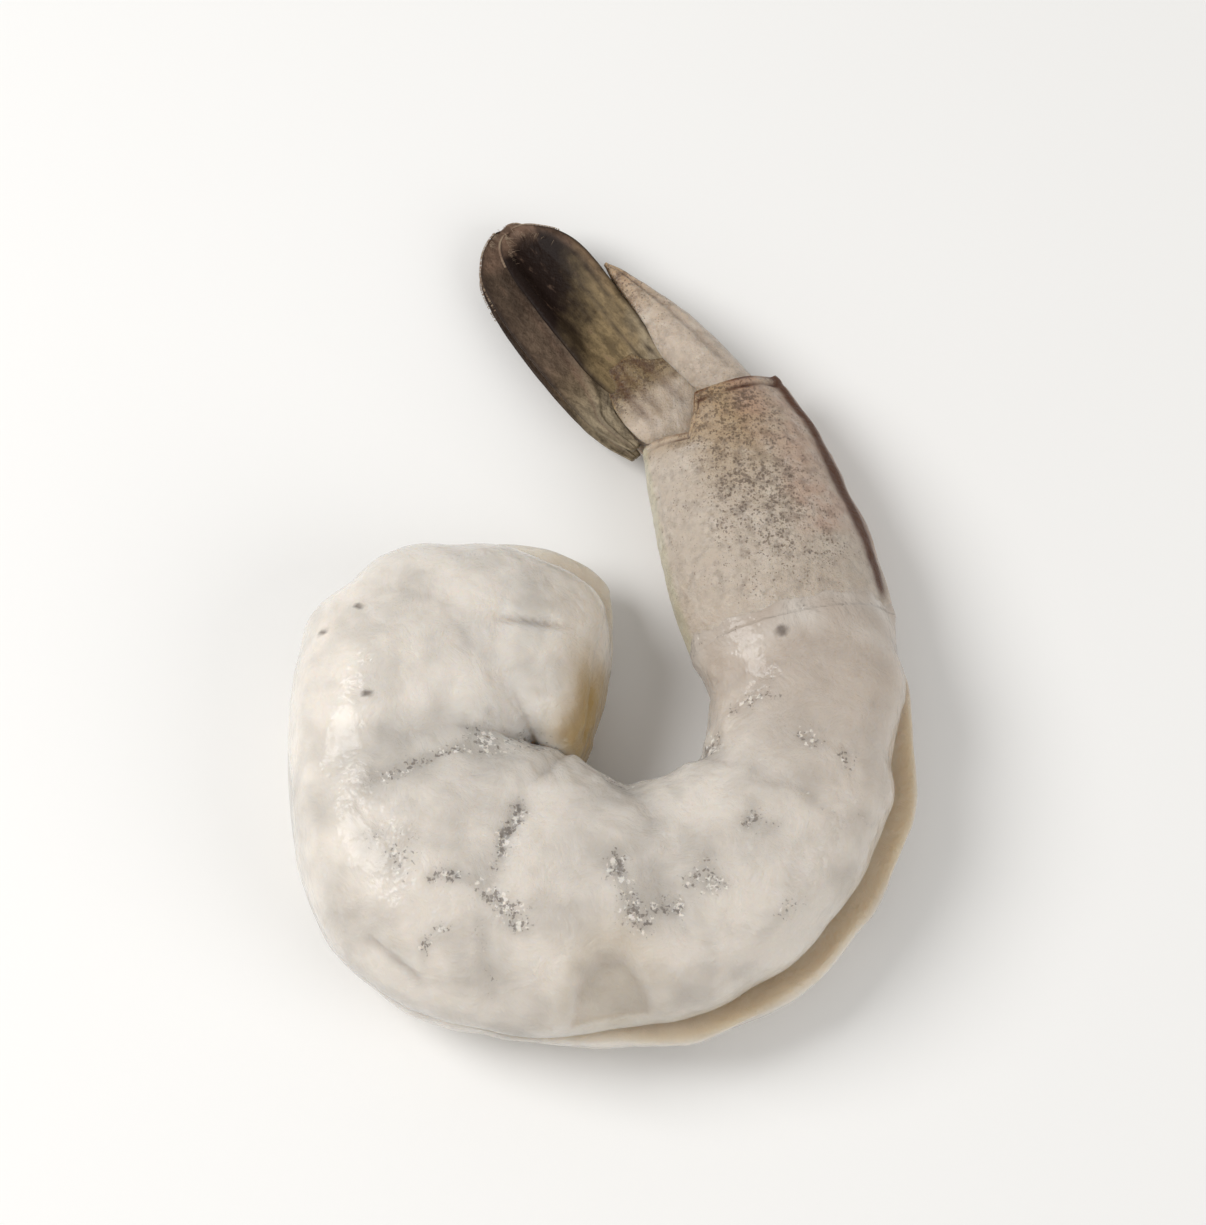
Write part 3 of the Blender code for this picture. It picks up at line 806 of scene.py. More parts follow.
def flesh_section(position, settings):
    """One closed section of the flesh, in its own plane, with how far it is cut face."""
    _, _, depth, half_width = station(FLESH_STATIONS, position)
    back_reach = depth * (0.5 - WIDEST_TOWARDS_BACK / 2.0)
    belly_reach = depth - back_reach
    gape = max(back_gape(position), head_gape(position))
    frayed = gape * (0.35 * ripple(position, 0.9, 1) + 0.2 * ripple(position, 0.35, 2))
    upper_reach = back_reach - settings.lip_setback / MM * back_gape(position) + frayed
    lower_reach = back_reach + settings.head_gape / MM * head_gape(position)
    lip_height = SHUT_LIP_HEIGHT + (OPEN_LIP_HEIGHT - SHUT_LIP_HEIGHT) * gape
    scoop = scoop_setback(position)
    lapped = belly_reach + belly_swell(position)
    upper = half_oval(upper_reach, lapped, half_width, 1.0, lip_height, scoop)
    lower = half_oval(lower_reach, lapped, half_width, -1.0, lip_height)
    deep = settings.slit_depth / MM
    deep *= 1.0 - smoothstep(SLIT_END_STATION - 1.2, SLIT_END_STATION, position)
    root = np.array([upper[-1, 0] - deep * (0.25 + 0.75 * gape) - 0.1, 0.0])
    lines = [
        spaced(upper, SIDE_POINTS),
        spaced(np.array([upper[-1], root]), SLIT_WALL_POINTS),
        spaced(np.array([root, lower[-1]]), SLIT_WALL_POINTS),
        spaced(lower[::-1], SIDE_POINTS),
    ]
    section = np.concatenate(lines)
    cut = np.zeros(len(section))
    cut[SIDE_POINTS : SIDE_POINTS + 2 * SLIT_WALL_POINTS] = 1.0
    for _ in range(6):
        section = (np.roll(section, 1, axis=0) + 2.0 * section + np.roll(section, -1, axis=0)) / 4.0
        cut = (np.roll(cut, 1) + 2.0 * cut + np.roll(cut, -1)) / 4.0
    towards_back = section[:, 0] / np.where(section[:, 0] > 0.0, back_reach, belly_reach)
    sliced = scoop / SCOOP_SETBACK * smoothstep(0.0, 0.5, towards_back) * (section[:, 1] > 0.0)
    lifted = 0.55 * ripple(position, 1.4, 3) + 0.25 * ripple(position, 0.5, 4)
    section[:, 1] += lifted * smoothstep(0.55, 0.95, towards_back) * (1.0 - smoothstep(15.5, 16.5, position))
    section[:, 0] += belly_reach
    return section, towards_back, np.maximum(cut * gape**0.6, 0.35 * sliced)


def flesh_height(position, half_width):
    """Height of the flesh's middle plane, so that its underside lies flat on the table."""
    return half_width - FLESH_SINK * (1.0 - smoothstep(SINK_FADES_FROM, LAST_FLESH_STATION, position))


def on_shell(section, position, shell):
    """The points of a flesh section moved in or out onto the shell's own section."""
    front = shell_section(position, shell)
    centre = np.array([(front[:, 0].min() + front[:, 0].max()) / 2.0, 0.0])
    angle = np.arctan2(*(front - centre).T[::-1])
    order = np.argsort(angle)
    reach = np.linalg.norm(front - centre, axis=1)
    away = section - centre
    turn = np.arctan2(away[:, 1], away[:, 0])
    wanted = np.interp(turn, angle[order], reach[order], period=2.0 * math.pi)
    return centre + away * (wanted / np.maximum(np.linalg.norm(away, axis=1), 1e-6))[:, None]


def flesh_grid(settings, shell):
    """Rings of points over the whole flesh, and for each point its station, its share
    towards the back and whether a knife laid it bare."""
    rings, positions, backs, cuts = [], [], [], []

    def keep(section, ring, position, towards_back, cut):
        rings.append(ring)
        positions.append(np.full(len(section), position))
        backs.append(towards_back)
        cuts.append(cut)

    belly, to_back, _, half_width = station(FLESH_STATIONS, 0.0)
    section, towards_back, cut = flesh_section(0.0, settings)
    section = inset(section, HEAD_ROUNDING)
    centre = section.mean(axis=0)
    for scale in np.linspace(0.05, 0.97, HEAD_RINGS):
        bulge = HEAD_FACE_BULGE * (1.0 - scale**2.2)
        face = centre + (section - centre) * scale
        ring = in_plane(face, belly, to_back, flesh_height(0.0, half_width), -bulge)
        keep(face, ring, -0.2, towards_back * scale, cut)
    rounded = np.linspace(0.0, HEAD_ROUNDING_STATIONS, HEAD_RINGS, endpoint=False)
    straight = np.linspace(HEAD_ROUNDING_STATIONS, LAST_FLESH_STATION, FLESH_RINGS)
    for position in (*rounded, *straight):
        belly, to_back, _, half_width = station(FLESH_STATIONS, position)
        section, towards_back, cut = flesh_section(position, settings)
        at_seam = smoothstep(LAST_FLESH_STATION - SEAM_STATIONS, LAST_FLESH_STATION, position)
        if at_seam > 0.0:
            section = section + at_seam * (on_shell(section, 0.0, shell) - section)
            shell_belly, shell_to_back, _, _ = station(SHELL_STATIONS, 0.0)
            belly = belly + at_seam * (shell_belly - belly)
            to_back = to_back + at_seam * (shell_to_back - to_back)
        from_end = max(0.0, 1.0 - position / HEAD_ROUNDING_STATIONS)
        taken = HEAD_ROUNDING * (1.0 - math.sqrt(1.0 - from_end**2))
        ring = in_plane(inset(section, taken), belly, to_back, flesh_height(position, half_width))
        keep(section, ring, position, towards_back, cut)
    for position, taken in LAP_STEPS:
        belly, to_back, _, half_width = station(SHELL_STATIONS, position)
        lap = inset(on_shell(section, position, shell), taken)
        ring = in_plane(lap, belly, to_back, half_width)
        keep(lap, ring, LAST_FLESH_STATION + position, towards_back, cut)
    return np.array(rings), np.array(positions), np.array(backs), np.array(cuts)


def from_stretch(rings, start, end):
    """How far each point lies from a straight stretch in plan, and where along it from 0 to 1."""
    a, run = np.array(start), np.array(end) - np.array(start)
    from_a = rings[..., :2] - a
    share = np.clip((from_a @ run) / max(run @ run, 1e-6), 0.0, 1.0)
    return np.linalg.norm(from_a - share[..., None] * run, axis=-1), share


def groove_field(rings):
    """How deep the straight grooves in the upper side are at each point."""
    depth = np.zeros(rings.shape[:2])
    for start, end, deep, half_width in GROOVES:
        away, share = from_stretch(rings, start, end)
        beside, _ = from_stretch(rings, (start[0], start[1] + 0.9), (end[0], end[1] + 0.9))
        fade = smoothstep(0.0, 0.3, share) * smoothstep(1.0, 0.7, share)
        depth += deep * fade * (bump(away, 0.0, half_width) - 0.5 * bump(beside, 0.0, 0.6))
    return depth * (rings[..., 2] > 6.0)


def fleck_field(rings):
    """How thick the flecks of skin lie at each point of the upper side, and the single dots."""
    thick, dots = np.zeros(rings.shape[:2]), np.zeros(rings.shape[:2])
    bent = rings[..., :2] + 1.1 * np.stack([lumps(rings, 2.6, 24), lumps(rings, 2.6, 25)], axis=-1)
    gaps = np.clip(0.85 + 1.1 * lumps(rings, 1.5, 26), 0.15, 1.2)
    for start, end, half_width, density in FLECK_STRETCHES:
        away, _ = from_stretch(bent, start, end)
        stray = 0.35 * bump(away, 0.0, 2.6 * half_width)
        thick = np.maximum(thick, density * (bump(away, 0.0, half_width) * gaps + stray))
    for place, radius in DOTS:
        away = np.linalg.norm(rings[..., :2] - np.array(place), axis=-1)
        dots = np.maximum(dots, 0.8 * smoothstep(1.25 * radius, 0.6 * radius, away))
    upper = rings[..., 2] > 5.0
    return thick * upper, dots * upper


def crease_field(rings, along, across):
    """How deep each point lies in a crease, and the sharp middle line of the creases."""
    wander = CREASE_WANDER * lumps(rings, 5.0, 4) + 0.12 * lumps(rings, 1.6, 5)
    deep, line = np.zeros(along.shape), np.zeros(along.shape)
    for at, depth in CREASES:
        away = along - at - CREASE_SLANT * across - wander
        deep += depth * bump(away, 0.0, CREASE_HALF_LENGTH / 2.2)
        line += depth * bump(away, 0.0, 0.09)
    gain = 1.0 + (BELLY_CREASE_GAIN - 1.0) * np.clip(-across, 0.0, 1.0)
    return deep * gain, line * gain


class OBJECT_OT_prawn_flesh(bpy.types.Operator):
    """Builds the peeled flesh with its slit, creases and head end"""

    bl_idname = "prawn.flesh"
    bl_label = "Flesh"

    def execute(self, context):
        settings = context.scene.prawn_flesh
        rings, along, across, cut = flesh_grid(settings, context.scene.prawn_shell)
        height = settings.lump_height / MM
        to_shell = along - LAST_FLESH_STATION
        deep, line = crease_field(rings, along, across)
        calm = 1.0 - 0.6 * cut
        end = smoothstep(0.0, -0.8, to_shell)
        lapped = 0.11 * lumps(rings, 1.6, 21) * smoothstep(0.0, 0.1, to_shell)
        swell = height * lumps(rings, 5.5, 6) + 0.3 * height * lumps(rings, 2.2, 7)
        from_arch = np.hypot(
            (rings[..., 0] - ARCH_CENTRE[0]) / ARCH_HALF_WIDTH, (rings[..., 1] - ARCH_CENTRE[1]) / ARCH_HEIGHT
        )
        above_lip = smoothstep(8.6, 10.2, rings[..., 2])
        bowl = smoothstep(1.02, 0.82, from_arch + 0.06 * lumps(rings, 1.5, 17)) * above_lip
        rim = ARCH_RIM_HEIGHT * bump(from_arch, 1.28, 0.22) * above_lip
        move = (swell * calm - deep * (1.0 - cut) - 0.1 * line * (1.0 - cut) + rim) * end
        flecks, dots = fleck_field(rings)
        grooves = groove_field(rings)
        move -= grooves + FLECK_VALLEY * flecks * (1.0 + 0.5 * lumps(rings, 0.8, 15))
        move += 0.16 * lumps(rings, 1.3, 16) * smoothstep(-0.55, -0.9, across) * end + lapped
        rings = rings + outward(rings) * move[..., None]
        rings[..., 2] = np.maximum(rings[..., 2] - ARCH_DEPTH * bowl, 0.0)
        face = smoothstep(0.75, -0.1, along)
        thin = face * (0.1 + 0.9 * smoothstep(0.3, -0.6, across))
        thin += 0.2 * smoothstep(1.5, 0.0, along) * (1.0 - face)
        from_thin, _ = from_stretch(rings, *AMBER_STRETCH[:2])
        thin = np.maximum(thin, 0.9 * bump(from_thin, 0.0, AMBER_STRETCH[2]) * smoothstep(3.0, 1.6, along))
        near_crease = np.clip(2.4 * line + 0.5 * deep, 0.0, 1.0)
        broken = smoothstep(-0.05, 0.35, lumps(rings, 3.2, 9))
        by_shell = 0.55 * smoothstep(-0.6, 0.1, to_shell) * smoothstep(-0.3, 0.3, lumps(rings, 1.8, 22))
        values = {
            "cut": np.maximum(cut * (0.35 + 0.65 * smoothstep(2.0, 6.0, along)), 0.35 * bowl),
            "thin": thin,
            # Creases, and grooves most of all, are painted greyer: painted shade.
            "crease": 0.3 * np.clip(deep / 0.5, 0.0, 1.0) + 0.9 * np.clip(grooves, 0.0, 1.0),
            "tailward": 0.12 * smoothstep(5.0, 9.0, along) + 0.58 * smoothstep(12.0, 16.0, along)
            + 0.45 * lumps(rings, 2.4, 23) * smoothstep(-1.2, -0.2, to_shell),
            "fleck": np.maximum(flecks, np.maximum(0.65 * near_crease * broken, by_shell)),
            "dot": dots,
            "tethered": smoothstep(-1.1, -0.1, to_shell),
        }
        solid("flesh_peeled", rings, values, raw_muscle(settings), "flesh", "raw_flesh")
        return {"FINISHED"}


def shell_section(position, settings):
    """One section of the shell ring with its keel, as (towards the back, up)."""
    _, _, depth, half_width = station(SHELL_STATIONS, position)
    angles = np.linspace(0.0, 2.0 * math.pi, SHELL_POINTS, endpoint=False)
    c, s = np.cos(angles), np.sin(angles)
    up = s * half_width
    keel = settings.keel / MM * bump(up, 0.0, KEEL_HALF_WIDTH) * np.clip(c, 0.0, 1.0)
    across = depth / 2.0 * (1.0 + np.sign(c) * np.abs(c) ** 0.9) + keel
    return np.stack([across, up], axis=1)


def rear_edge_reach(section):
    """How far each point of the ring's rear edge stands out beyond a plane cut."""
    share = section[:, 0] / section[:, 0].max()
    wave = np.interp(share, *np.array(REAR_EDGE_REACH).T)
    spine = REAR_SPINE * bump(section[:, 1], 0.0, 0.7) * smoothstep(0.9, 1.0, share)
    return wave + spine


class OBJECT_OT_prawn_shell_ring(bpy.types.Operator):
    """Builds the last shell ring, from the flesh to the tail joint"""

    bl_idname = "prawn.shell_ring"
    bl_label = "Shell ring"

    def execute(self, context):
        settings = context.scene.prawn_shell
        rim = settings.rim / MM
        last = LAST_SHELL_STATION
        rings, along, share, up = [], [], [], []

        def keep(section, ring, position):
            rings.append(ring)
            along.append(np.full(len(section), position / last))
            share.append(section[:, 0] / section[:, 0].max())
            up.append(section[:, 1] / np.abs(section[:, 1]).max())

        belly, to_back, _, half_width = station(SHELL_STATIONS, 0.0)
        front = shell_section(0.0, settings)
        for forward, thickness in SHELL_FRONT_STEPS:
            keep(front, in_plane(inset(front, thickness), belly, to_back, half_width, forward), 0.0)
        for position in np.linspace(0.0, last, SHELL_RINGS):
            belly, to_back, _, half_width = station(SHELL_STATIONS, position)
            section = shell_section(position, settings)
            forward = rear_edge_reach(section) * smoothstep(last - 1.1, last, position)
            keep(section, in_plane(section, belly, to_back, half_width, forward), position)
        reach = rear_edge_reach(section)
        for thickness, forward in (
            (0.6 * rim, reach + 0.06),
            (rim, reach - 0.05),
            (rim + 0.25, reach - 0.7),
            (0.9, 0.8 * reach - 0.75),
            (1.7, 0.5 * reach - 0.45),
            (2.8, 0.2 * reach - 0.2),
        ):
            keep(section, in_plane(inset(section, thickness), belly, to_back, half_width, forward), last)
        rings, along, share, up = (np.array(grid) for grid in (rings, along, share, up))
        first_rim = len(SHELL_FRONT_STEPS) + SHELL_RINGS
        outer, skin, rim_line = (np.zeros(along.shape) for _ in range(3))
        outer[len(SHELL_FRONT_STEPS) : first_rim] = 1.0
        skin[first_rim + 3 :] = 1.0
        rim_line[first_rim : first_rim + 2] = 0.7
        rear_line = bump(along, 0.952, 0.011) * outer
        belly_line = bump(share, 0.035, 0.008) * outer
        swell = 0.16 * lumps(rings, 4.0, 11) + 0.08 * lumps(rings, 1.5, 12) + 0.03 * lumps(rings, 0.6, 19)
        swell = swell * smoothstep(0.05, 0.2, along) - LAP_DIP * smoothstep(0.1, 0.0, along)
        ridge = 0.3 * bump(up, 0.22, 0.09) * smoothstep(0.85, 0.95, share) * smoothstep(0.03, 0.2, along)
        wear_and_glints = np.clip(0.7 + 0.9 * lumps(rings, 1.8, 20), 0.1, 1.3)
        lip = wear_and_glints * (0.08 * bump(along, 0.98, 0.012) - 0.12 * rear_line)
        move = (swell + ridge - 0.08 * belly_line + lip) * outer
        rings = rings + outward(rings) * move[..., None]
        rings[..., 2] = np.maximum(rings[..., 2], 0.0)
        thicker = 0.07 + 0.06 * bump(along, 0.45, 0.3)
        back = smoothstep(0.8, 0.9, share) * bump(up, 0.25, thicker + 0.03)
        edge_line = bump(along, 0.997, 0.011) * outer
        uneven = 1.0 + 0.3 * lumps(rings, 1.5, 13)
        rearward = smoothstep(0.25, 0.95, along + 0.1 * lumps(rings, 3.0, 18))
        browned = rearward * smoothstep(0.12, 0.45, share + 0.3 * smoothstep(0.75, 0.95, along))
        browned *= (1.0 - 0.5 * smoothstep(0.55, 0.9, share)) * (1.0 - 0.5 * smoothstep(0.4, 0.1, share))
        dense = smoothstep(-0.2, 0.3, along) * (0.5 + 0.5 * smoothstep(0.12, 0.42, share))
        dense *= (0.65 + 0.4 * along) * (1.0 - 0.35 * smoothstep(0.7, 0.85, share))
        line = 1.25 * back * uneven * smoothstep(0.02, 0.12, along) + rim_line * wear_and_glints
        line += (0.95 * rear_line + 1.1 * edge_line) * wear_and_glints * smoothstep(0.02, 0.14, share)
        values = {
            # The belly edge is pale shell with a painted edge highlight along it.
            "pale": 0.5 * (1.0 - smoothstep(0.01, 0.03, share)) * outer,
            "blush": smoothstep(0.4, 0.75, share) * smoothstep(0.0, 0.35, along) * (1.0 - 0.8 * skin),
            "browned": browned * (1.0 - 0.6 * skin),
            "dense": dense * (1.0 - 0.7 * skin),
            "line": np.clip(line, 0.0, 0.95),
            "front": np.maximum(skin, 1.0 - smoothstep(-0.05, 0.42, along + 0.22 * lumps(rings, 2.5, 14))),
        }
        material = clear_shell(settings, "prawn_shell_clear_wet", settings.shell, settings.tan, 1.0)
        solid("shell_ring_sixth", rings, values, material, "shell_ring", "tail_shell")
        return {"FINISHED"}


def in_fan(out, across, up):
    """Points of the tail fan's own frame, as (x, y, z)."""
    c, s = math.cos(FAN_BEARING), math.sin(FAN_BEARING)
    x = FAN_JOINT[0] + out * c + across * s
    y = FAN_JOINT[1] + out * s - across * c
    z = FAN_JOINT_HEIGHT + up - FAN_SINK_PER_MM * out
    return np.stack(np.broadcast_arrays(x, y, z), axis=-1)


def blade_height(name, share, out, spoon_rim):
    """How far a blade's surface rises towards its rims and ribs."""
    if name == "inner_blade_top":
        belly_wall = 0.1 + 0.9 * smoothstep(0.2, 0.5, out) - 0.65 * smoothstep(0.7, 0.93, out)
        belly_wall = belly_wall * smoothstep(0.30, 0.04, share)
        back_wall = smoothstep(0.15, 0.45, out) - 0.4 * smoothstep(0.75, 0.95, out)
        back_wall = 0.75 * back_wall * smoothstep(0.62, 1.0, share)
        tip_wall = 0.4 * smoothstep(0.84, 0.97, out)
        hollow = 0.35 * bump(share, 0.42, 0.25) * smoothstep(0.15, 0.4, out)
        return spoon_rim * (np.maximum(np.maximum(belly_wall, back_wall), tip_wall) - hollow)
    rib = 0.16 * bump(share, 0.45, 0.06) * smoothstep(0.95, 0.6, out)
    return OUTER_RIM * np.clip(1.0 - 2.0 * share, 0.0, 1.0) ** 3 + rib


def blade_colouring(name, out, share, rings):
    """Where a blade is dark, green, mauve or rimmed, from 0 to 1 at each point."""
    uneven = out + 0.36 * (0.5 - share) + 0.10 * lumps(rings, 1.8, 23) + 0.05 * lumps(rings, 0.6, 24)
    tip_band = smoothstep(0.87, 0.94, out + 0.03 * lumps(rings, 1.0, 25))
    outer = 1.0 if name.startswith("outer") else 0.0
    if outer:
        dark, green = 0.5 * smoothstep(0.5, 0.85, out), smoothstep(0.2, 0.5, out)
    else:
        dark, green = smoothstep(0.36, 0.74, uneven), smoothstep(0.12, 0.34, uneven)
    edge = np.maximum(bump(share, 0.0, 0.05), bump(share, 1.0, 0.035))
    wandering = share + 0.05 * lumps(rings, 2.5, 27)
    broken = np.clip(0.7 + 1.2 * lumps(rings, 1.3, 28), 0.0, 1.2)
    veins = sum(strength * bump(wandering, at, width) for at, strength, width in BLADE_VEINS)
    veins = veins * broken * smoothstep(0.15, 0.3, out) * smoothstep(0.95, 0.75, out)
    back_rim = smoothstep(0.80, 0.92, share) * smoothstep(0.45, 0.7, out)
    rib_line = 0.5 * outer * bump(share, 0.33, 0.03) * smoothstep(0.95, 0.6, out)
    return {
        "darker": dark,
        "greener": green,
        "mauve": outer * green,
        "rim": np.clip(rib_line + np.maximum(0.85 * tip_band, 0.45 * back_rim), 0.0, 0.85),
        "line": np.clip(0.75 * edge * smoothstep(0.1, 0.3, out) + veins, 0.0, 0.85),
    }


def blade_grid(name, edges, height, settings):
    """Rings across a blade, over its top and back along its underside, with shares of each."""
    last = len(edges) - 1
    share = np.linspace(0.0, 1.0, BLADE_ACROSS + 1)
    around = np.concatenate([share, share[::-1]])
    rings, outs = [], []
    middle, edge = settings.thickness / MM, settings.edge / MM
    for position in np.linspace(0.0, last, BLADE_RINGS):
        out, low, high = through(edges, position)
        side = np.sqrt(np.clip(1.0 - (2.0 * share - 1.0) ** 4, 0.0, 1.0))
        half = (edge + (middle - edge) * side * smoothstep(1.0, 0.8, position / last)) / 2.0
        across = low + (high - low) * share
        up = height + blade_height(name, share, out / FAN_LENGTH, settings.spoon_rim / MM)
        top, under = in_fan(out, across, up + half), in_fan(out, across, up - half)
        rings.append(np.concatenate([top, under[::-1]]))
        outs.append(np.full(len(around), out / FAN_LENGTH))
    return np.array(rings), np.array(outs), np.broadcast_to(around, (BLADE_RINGS, len(around)))


class OBJECT_OT_prawn_blades(bpy.types.Operator):
    """Builds the four blades of the tail fan"""

    bl_idname = "prawn.blades"
    bl_label = "Tail blades"

    def execute(self, context):
        settings = context.scene.prawn_fan
        material = dark_blade(settings)
        for name, edges, height in BLADES:
            rings, out, share = blade_grid(name, edges, height, settings)
            rings = rings + outward(rings) * 0.03 * lumps(rings, 1.1, 21)[..., None]
            values = blade_colouring(name, out, share, rings)
            solid(name + "_shell", rings, values, material, name, "tail_fan")
        return {"FINISHED"}


class OBJECT_OT_prawn_fringe(bpy.types.Operator):
    """Sets fine hairs round the free edges of the blades"""

    bl_idname = "prawn.fringe"
    bl_label = "Fringe"

    def execute(self, context):
        settings = context.scene.prawn_fan
        material = hair_fringe(settings)
        spoon_rim = settings.spoon_rim / MM
        chance = np.random.default_rng(7)
        for name, edges, height in BLADES:
            line, points, faces = [], [], []
            starts_at = (0.62 if edges is INNER_BLADE_EDGES else 0.5) * len(edges)
            last = len(edges) - 1
            for position in np.linspace(starts_at, last, FRINGE_STEPS):
                out, low, _ = through(edges, position)
                line.append((out, low, 0.0))
            for position in np.linspace(last, 0.6 * len(edges), FRINGE_STEPS):
                out, _, high = through(edges, position)
                line.append((out, high, 1.0))
            line = np.array(line)
            for k in range(2, len(line) - 2):
                tangent = line[k + 2, :2] - line[k - 2, :2]
                away = np.array([-tangent[1], tangent[0]])
                away /= max(np.linalg.norm(away), 1e-6)
                for _ in range(HAIRS_PER_STEP):
                    start = line[k, :2] + (chance.random() - 0.5) * tangent / 2.0
                    lean = away + 0.9 * (chance.random(2) - 0.4)
                    size = settings.fringe / MM * (0.3 + 0.7 * chance.random() ** 2)
                    side = np.array([-lean[1], lean[0]]) * HAIR_HALF_WIDTH
                    end = start + lean * size
                    up = height + blade_height(name, line[k, 2], start[0] / FAN_LENGTH, spoon_rim)
                    droop = -0.15 * chance.random()
                    root = start - away * 0.15
                    corner = len(points)
                    for place, lift in ((root - side, 0.0), (root + side, 0.0), (end, droop)):
                        points.append(in_fan(*place, up + lift))
                    faces.append((corner, corner + 1, corner + 2))
            data = (np.array(points) - np.array([*CURL_CENTRE, 0.0])) * MM
            mesh = bpy.data.meshes.new(name + "_fringe")
            mesh.from_pydata(data.tolist(), [], faces)
            placed(name + "_fringe", mesh, material, "tail_fan")
        return {"FINISHED"}


def oval_grid(rows, ring_count, points, slant_root=0.0):
    """Rings of ovals across the fan through rows of (out, centre, half across, low, high)."""
    last = len(rows) - 1
    turn = np.linspace(0.0, 2.0 * math.pi, points, endpoint=False)
    rings, outs = [], []
    for position in np.linspace(0.0, last, ring_count):
        out, centre, half, low, high = through(rows, position)
        slant = slant_root * (1.0 - smoothstep(0.0, 2.0, position))
        across = half * np.cos(turn)
        up = (low + high) / 2.0 + (high - low) / 2.0 * np.sin(turn)
        rings.append(in_fan(out + slant * across, centre + across, up))
        outs.append(np.full(points, position / last))
    return np.array(rings), np.array(outs), np.broadcast_to(turn, (ring_count, points))


class OBJECT_OT_prawn_telson(bpy.types.Operator):
    """Builds the telson, the pointed middle piece of the tail"""

    bl_idname = "prawn.telson"
    bl_label = "Telson"

    def execute(self, context):
        settings = context.scene.prawn_shell
        rings, out, turn = oval_grid(TELSON_STATIONS, TELSON_RINGS, TELSON_POINTS, TELSON_ROOT_SLANT)
        groove = bump(turn, math.radians(62.0), 0.16) * smoothstep(0.05, 0.3, out) * smoothstep(1.0, 0.8, out)
        move = 0.1 * lumps(rings, 2.0, 31) + 0.04 * lumps(rings, 0.8, 32) - 0.2 * groove
        rings = rings + outward(rings) * move[..., None]
        edge = bump(turn, 0.1, 0.12) * smoothstep(0.05, 0.25, out)
        values = {
            "pale": 0.0,
            "front": 0.45 * smoothstep(0.7, 0.2, out),
            "blush": 0.2 + 0.4 * out,
            "browned": smoothstep(0.35, 1.0, out + 0.12 * lumps(rings, 1.5, 33)),
            "dense": 0.4 + 0.6 * edge + 0.6 * smoothstep(0.3, 1.0, out),
            "line": np.clip(edge + 0.3 * groove, 0.0, 0.9),
        }
        material = clear_shell(settings, "telson_shell_pale_wet", settings.telson, settings.tan, 0.8)
        solid("telson_pointed", rings, values, material, "telson", "tail_shell")
        return {"FINISHED"}


class OBJECT_OT_prawn_base_plates(bpy.types.Operator):
    """Builds the two plates that carry the tail's blades"""

    bl_idname = "prawn.base_plates"
    bl_label = "Base plates"

    def execute(self, context):
        settings = context.scene.prawn_shell
        olive = context.scene.prawn_fan.olive
        material = clear_shell(settings, "base_plate_shell_pale_wet", settings.telson, olive, 0.8)
        for name, height in BASE_PLATES:
            rows = [
                (out, (low + high) / 2.0, (high - low) / 2.0, height - half, height + half)
                for out, low, high, half in BASE_PLATE_STATIONS
            ]
            rings, out, turn = oval_grid(rows, BASE_PLATE_RINGS, BASE_PLATE_POINTS)
            fold = bump(turn, 2.15, 0.14) + 0.8 * bump(turn, 1.75, 0.1) + 0.7 * bump(turn, 1.15, 0.14)
            deep = fold * smoothstep(0.2, 0.45, out + 0.1 * lumps(rings, 1.5, 42))
            deep *= smoothstep(1.0, 0.85, out)
            move = 0.12 * lumps(rings, 2.2, 41) + 0.05 * lumps(rings, 0.8, 43) - 0.16 * deep
            rings = rings + outward(rings) * move[..., None]
            far_end = smoothstep(0.6, 1.0, out + 0.25 * lumps(rings, 1.0, 45))
            browned = 0.1 + smoothstep(0.38, 0.72, out) + 0.35 * lumps(rings, 1.6, 44)
            values = {
                "pale": 0.0,
                "front": 0.0,
                "blush": 0.0,
                "browned": np.clip(browned, 0.0, 1.0),
                "dense": 0.4 + 0.9 * smoothstep(0.4, 0.8, out),
                "line": np.clip(0.55 * deep + 0.3 * far_end, 0.0, 0.7),
            }
            solid(name + "_shell", rings, values, material, name, "tail_shell")
        return {"FINISHED"}


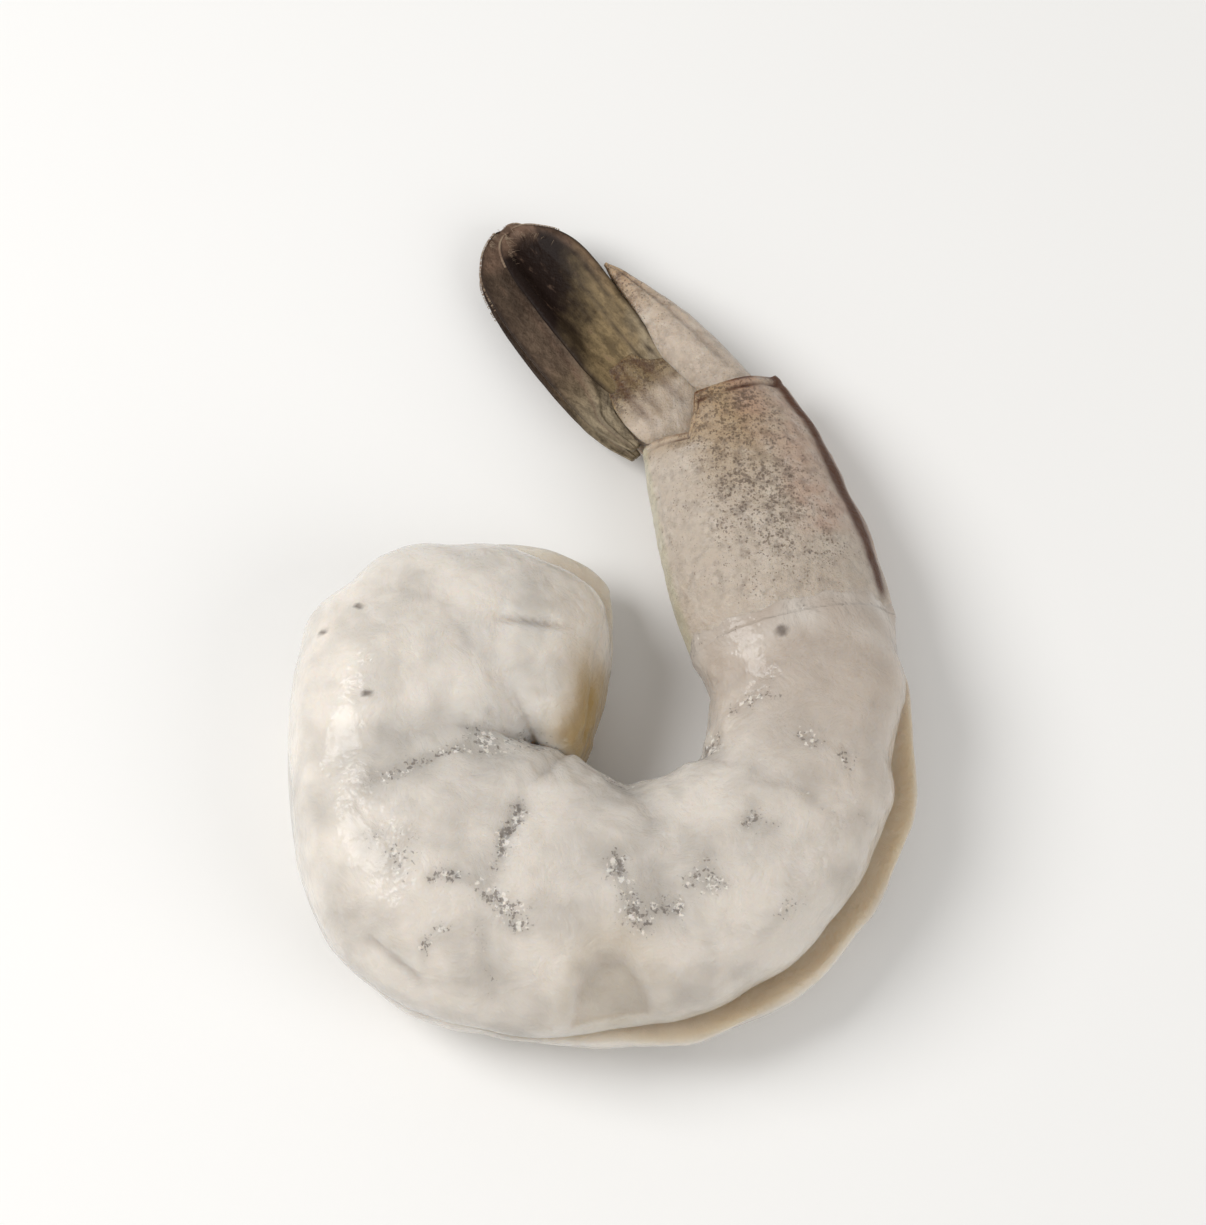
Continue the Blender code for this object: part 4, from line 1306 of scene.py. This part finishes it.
class OBJECT_OT_prawn_stage(bpy.types.Operator):
    """Lays the pale floor and sets the soft lights and the camera"""

    bl_idname = "prawn.stage"
    bl_label = "Stage"

    def execute(self, context):
        scene = context.scene
        settings = scene.prawn_stage
        half = settings.floor_size / 2.0
        mesh = bpy.data.meshes.new("floor")
        corners = [(-half, -half, 0.0), (half, -half, 0.0), (half, half, 0.0), (-half, half, 0.0)]
        mesh.from_pydata(corners, [], [(0, 1, 2, 3)])
        mesh.materials.append(pale_board(settings))
        floor = bpy.data.objects.new("floor", mesh)
        scene.collection.objects.link(floor)

        for name, power, size, place in (
            ("key_light", settings.key_power, 0.26, (-0.30, 0.03, 0.34)),
            ("fill_light", settings.fill_power, 0.36, (0.34, -0.22, 0.30)),
        ):
            lamp = bpy.data.lights.new(name, "AREA")
            lamp.shape = "DISK"
            lamp.size = size
            lamp.energy = power
            light = bpy.data.objects.new(name, lamp)
            light.location = place
            light.rotation_euler = (-Vector(place)).to_track_quat("-Z", "Y").to_euler()
            scene.collection.objects.link(light)

        world = bpy.data.worlds.new("room")
        world.use_nodes = True
        sky = world.node_tree.nodes["Background"]
        sky.inputs["Color"].default_value = (1.0, 0.99, 0.97, 1.0)
        sky.inputs["Strength"].default_value = settings.sky
        scene.world = world
        scene.view_settings.view_transform = "Standard"

        target = Vector((0.0, 0.0, 0.006))
        back = Vector((0.0, -math.cos(settings.elevation), math.sin(settings.elevation)))
        lens = bpy.data.cameras.new("camera")
        lens.lens = 150.0
        lens.sensor_width = 36.0
        lens.clip_start = 0.01
        camera = bpy.data.objects.new("camera", lens)
        camera.location = target + back * settings.distance
        camera.rotation_euler = (-back).to_track_quat("-Z", "Y").to_euler()
        scene.collection.objects.link(camera)
        scene.camera = camera
        return {"FINISHED"}


class VIEW3D_PT_prawn(bpy.types.Panel):
    """Buttons and settings of the prawn's pieces"""

    bl_label = "Raw tiger prawn"
    bl_space_type = "VIEW_3D"
    bl_region_type = "UI"
    bl_category = "Prawn"

    def draw(self, context):
        for group, operators in PANEL_ROWS:
            box = self.layout.box()
            for idname in operators:
                box.operator(idname)
            settings = getattr(context.scene, group)
            for key in settings.__annotations__:
                box.prop(settings, key)


SETTINGS = (
    ("prawn_flesh", PrawnFleshSettings),
    ("prawn_shell", PrawnShellSettings),
    ("prawn_fan", PrawnFanSettings),
    ("prawn_stage", PrawnStageSettings),
)
OPERATORS = (
    OBJECT_OT_prawn_flesh,
    OBJECT_OT_prawn_shell_ring,
    OBJECT_OT_prawn_telson,
    OBJECT_OT_prawn_base_plates,
    OBJECT_OT_prawn_blades,
    OBJECT_OT_prawn_fringe,
    OBJECT_OT_prawn_stage,
)
PANEL_ROWS = (
    ("prawn_flesh", ("prawn.flesh",)),
    ("prawn_shell", ("prawn.shell_ring", "prawn.telson", "prawn.base_plates")),
    ("prawn_fan", ("prawn.blades", "prawn.fringe")),
    ("prawn_stage", ("prawn.stage",)),
)


def register():
    for name, group in SETTINGS:
        bpy.utils.register_class(group)
        setattr(bpy.types.Scene, name, bpy.props.PointerProperty(type=group))
    for item in (*OPERATORS, VIEW3D_PT_prawn):
        bpy.utils.register_class(item)


def unregister():
    for item in (VIEW3D_PT_prawn, *reversed(OPERATORS)):
        bpy.utils.unregister_class(item)
    for name, group in reversed(SETTINGS):
        delattr(bpy.types.Scene, name)
        bpy.utils.unregister_class(group)


def main():
    register()
    bpy.ops.prawn.flesh()
    bpy.ops.prawn.shell_ring()
    bpy.ops.prawn.telson()
    bpy.ops.prawn.base_plates()
    bpy.ops.prawn.blades()
    bpy.ops.prawn.fringe()
    bpy.ops.prawn.stage()


if __name__ == "__main__":
    main()
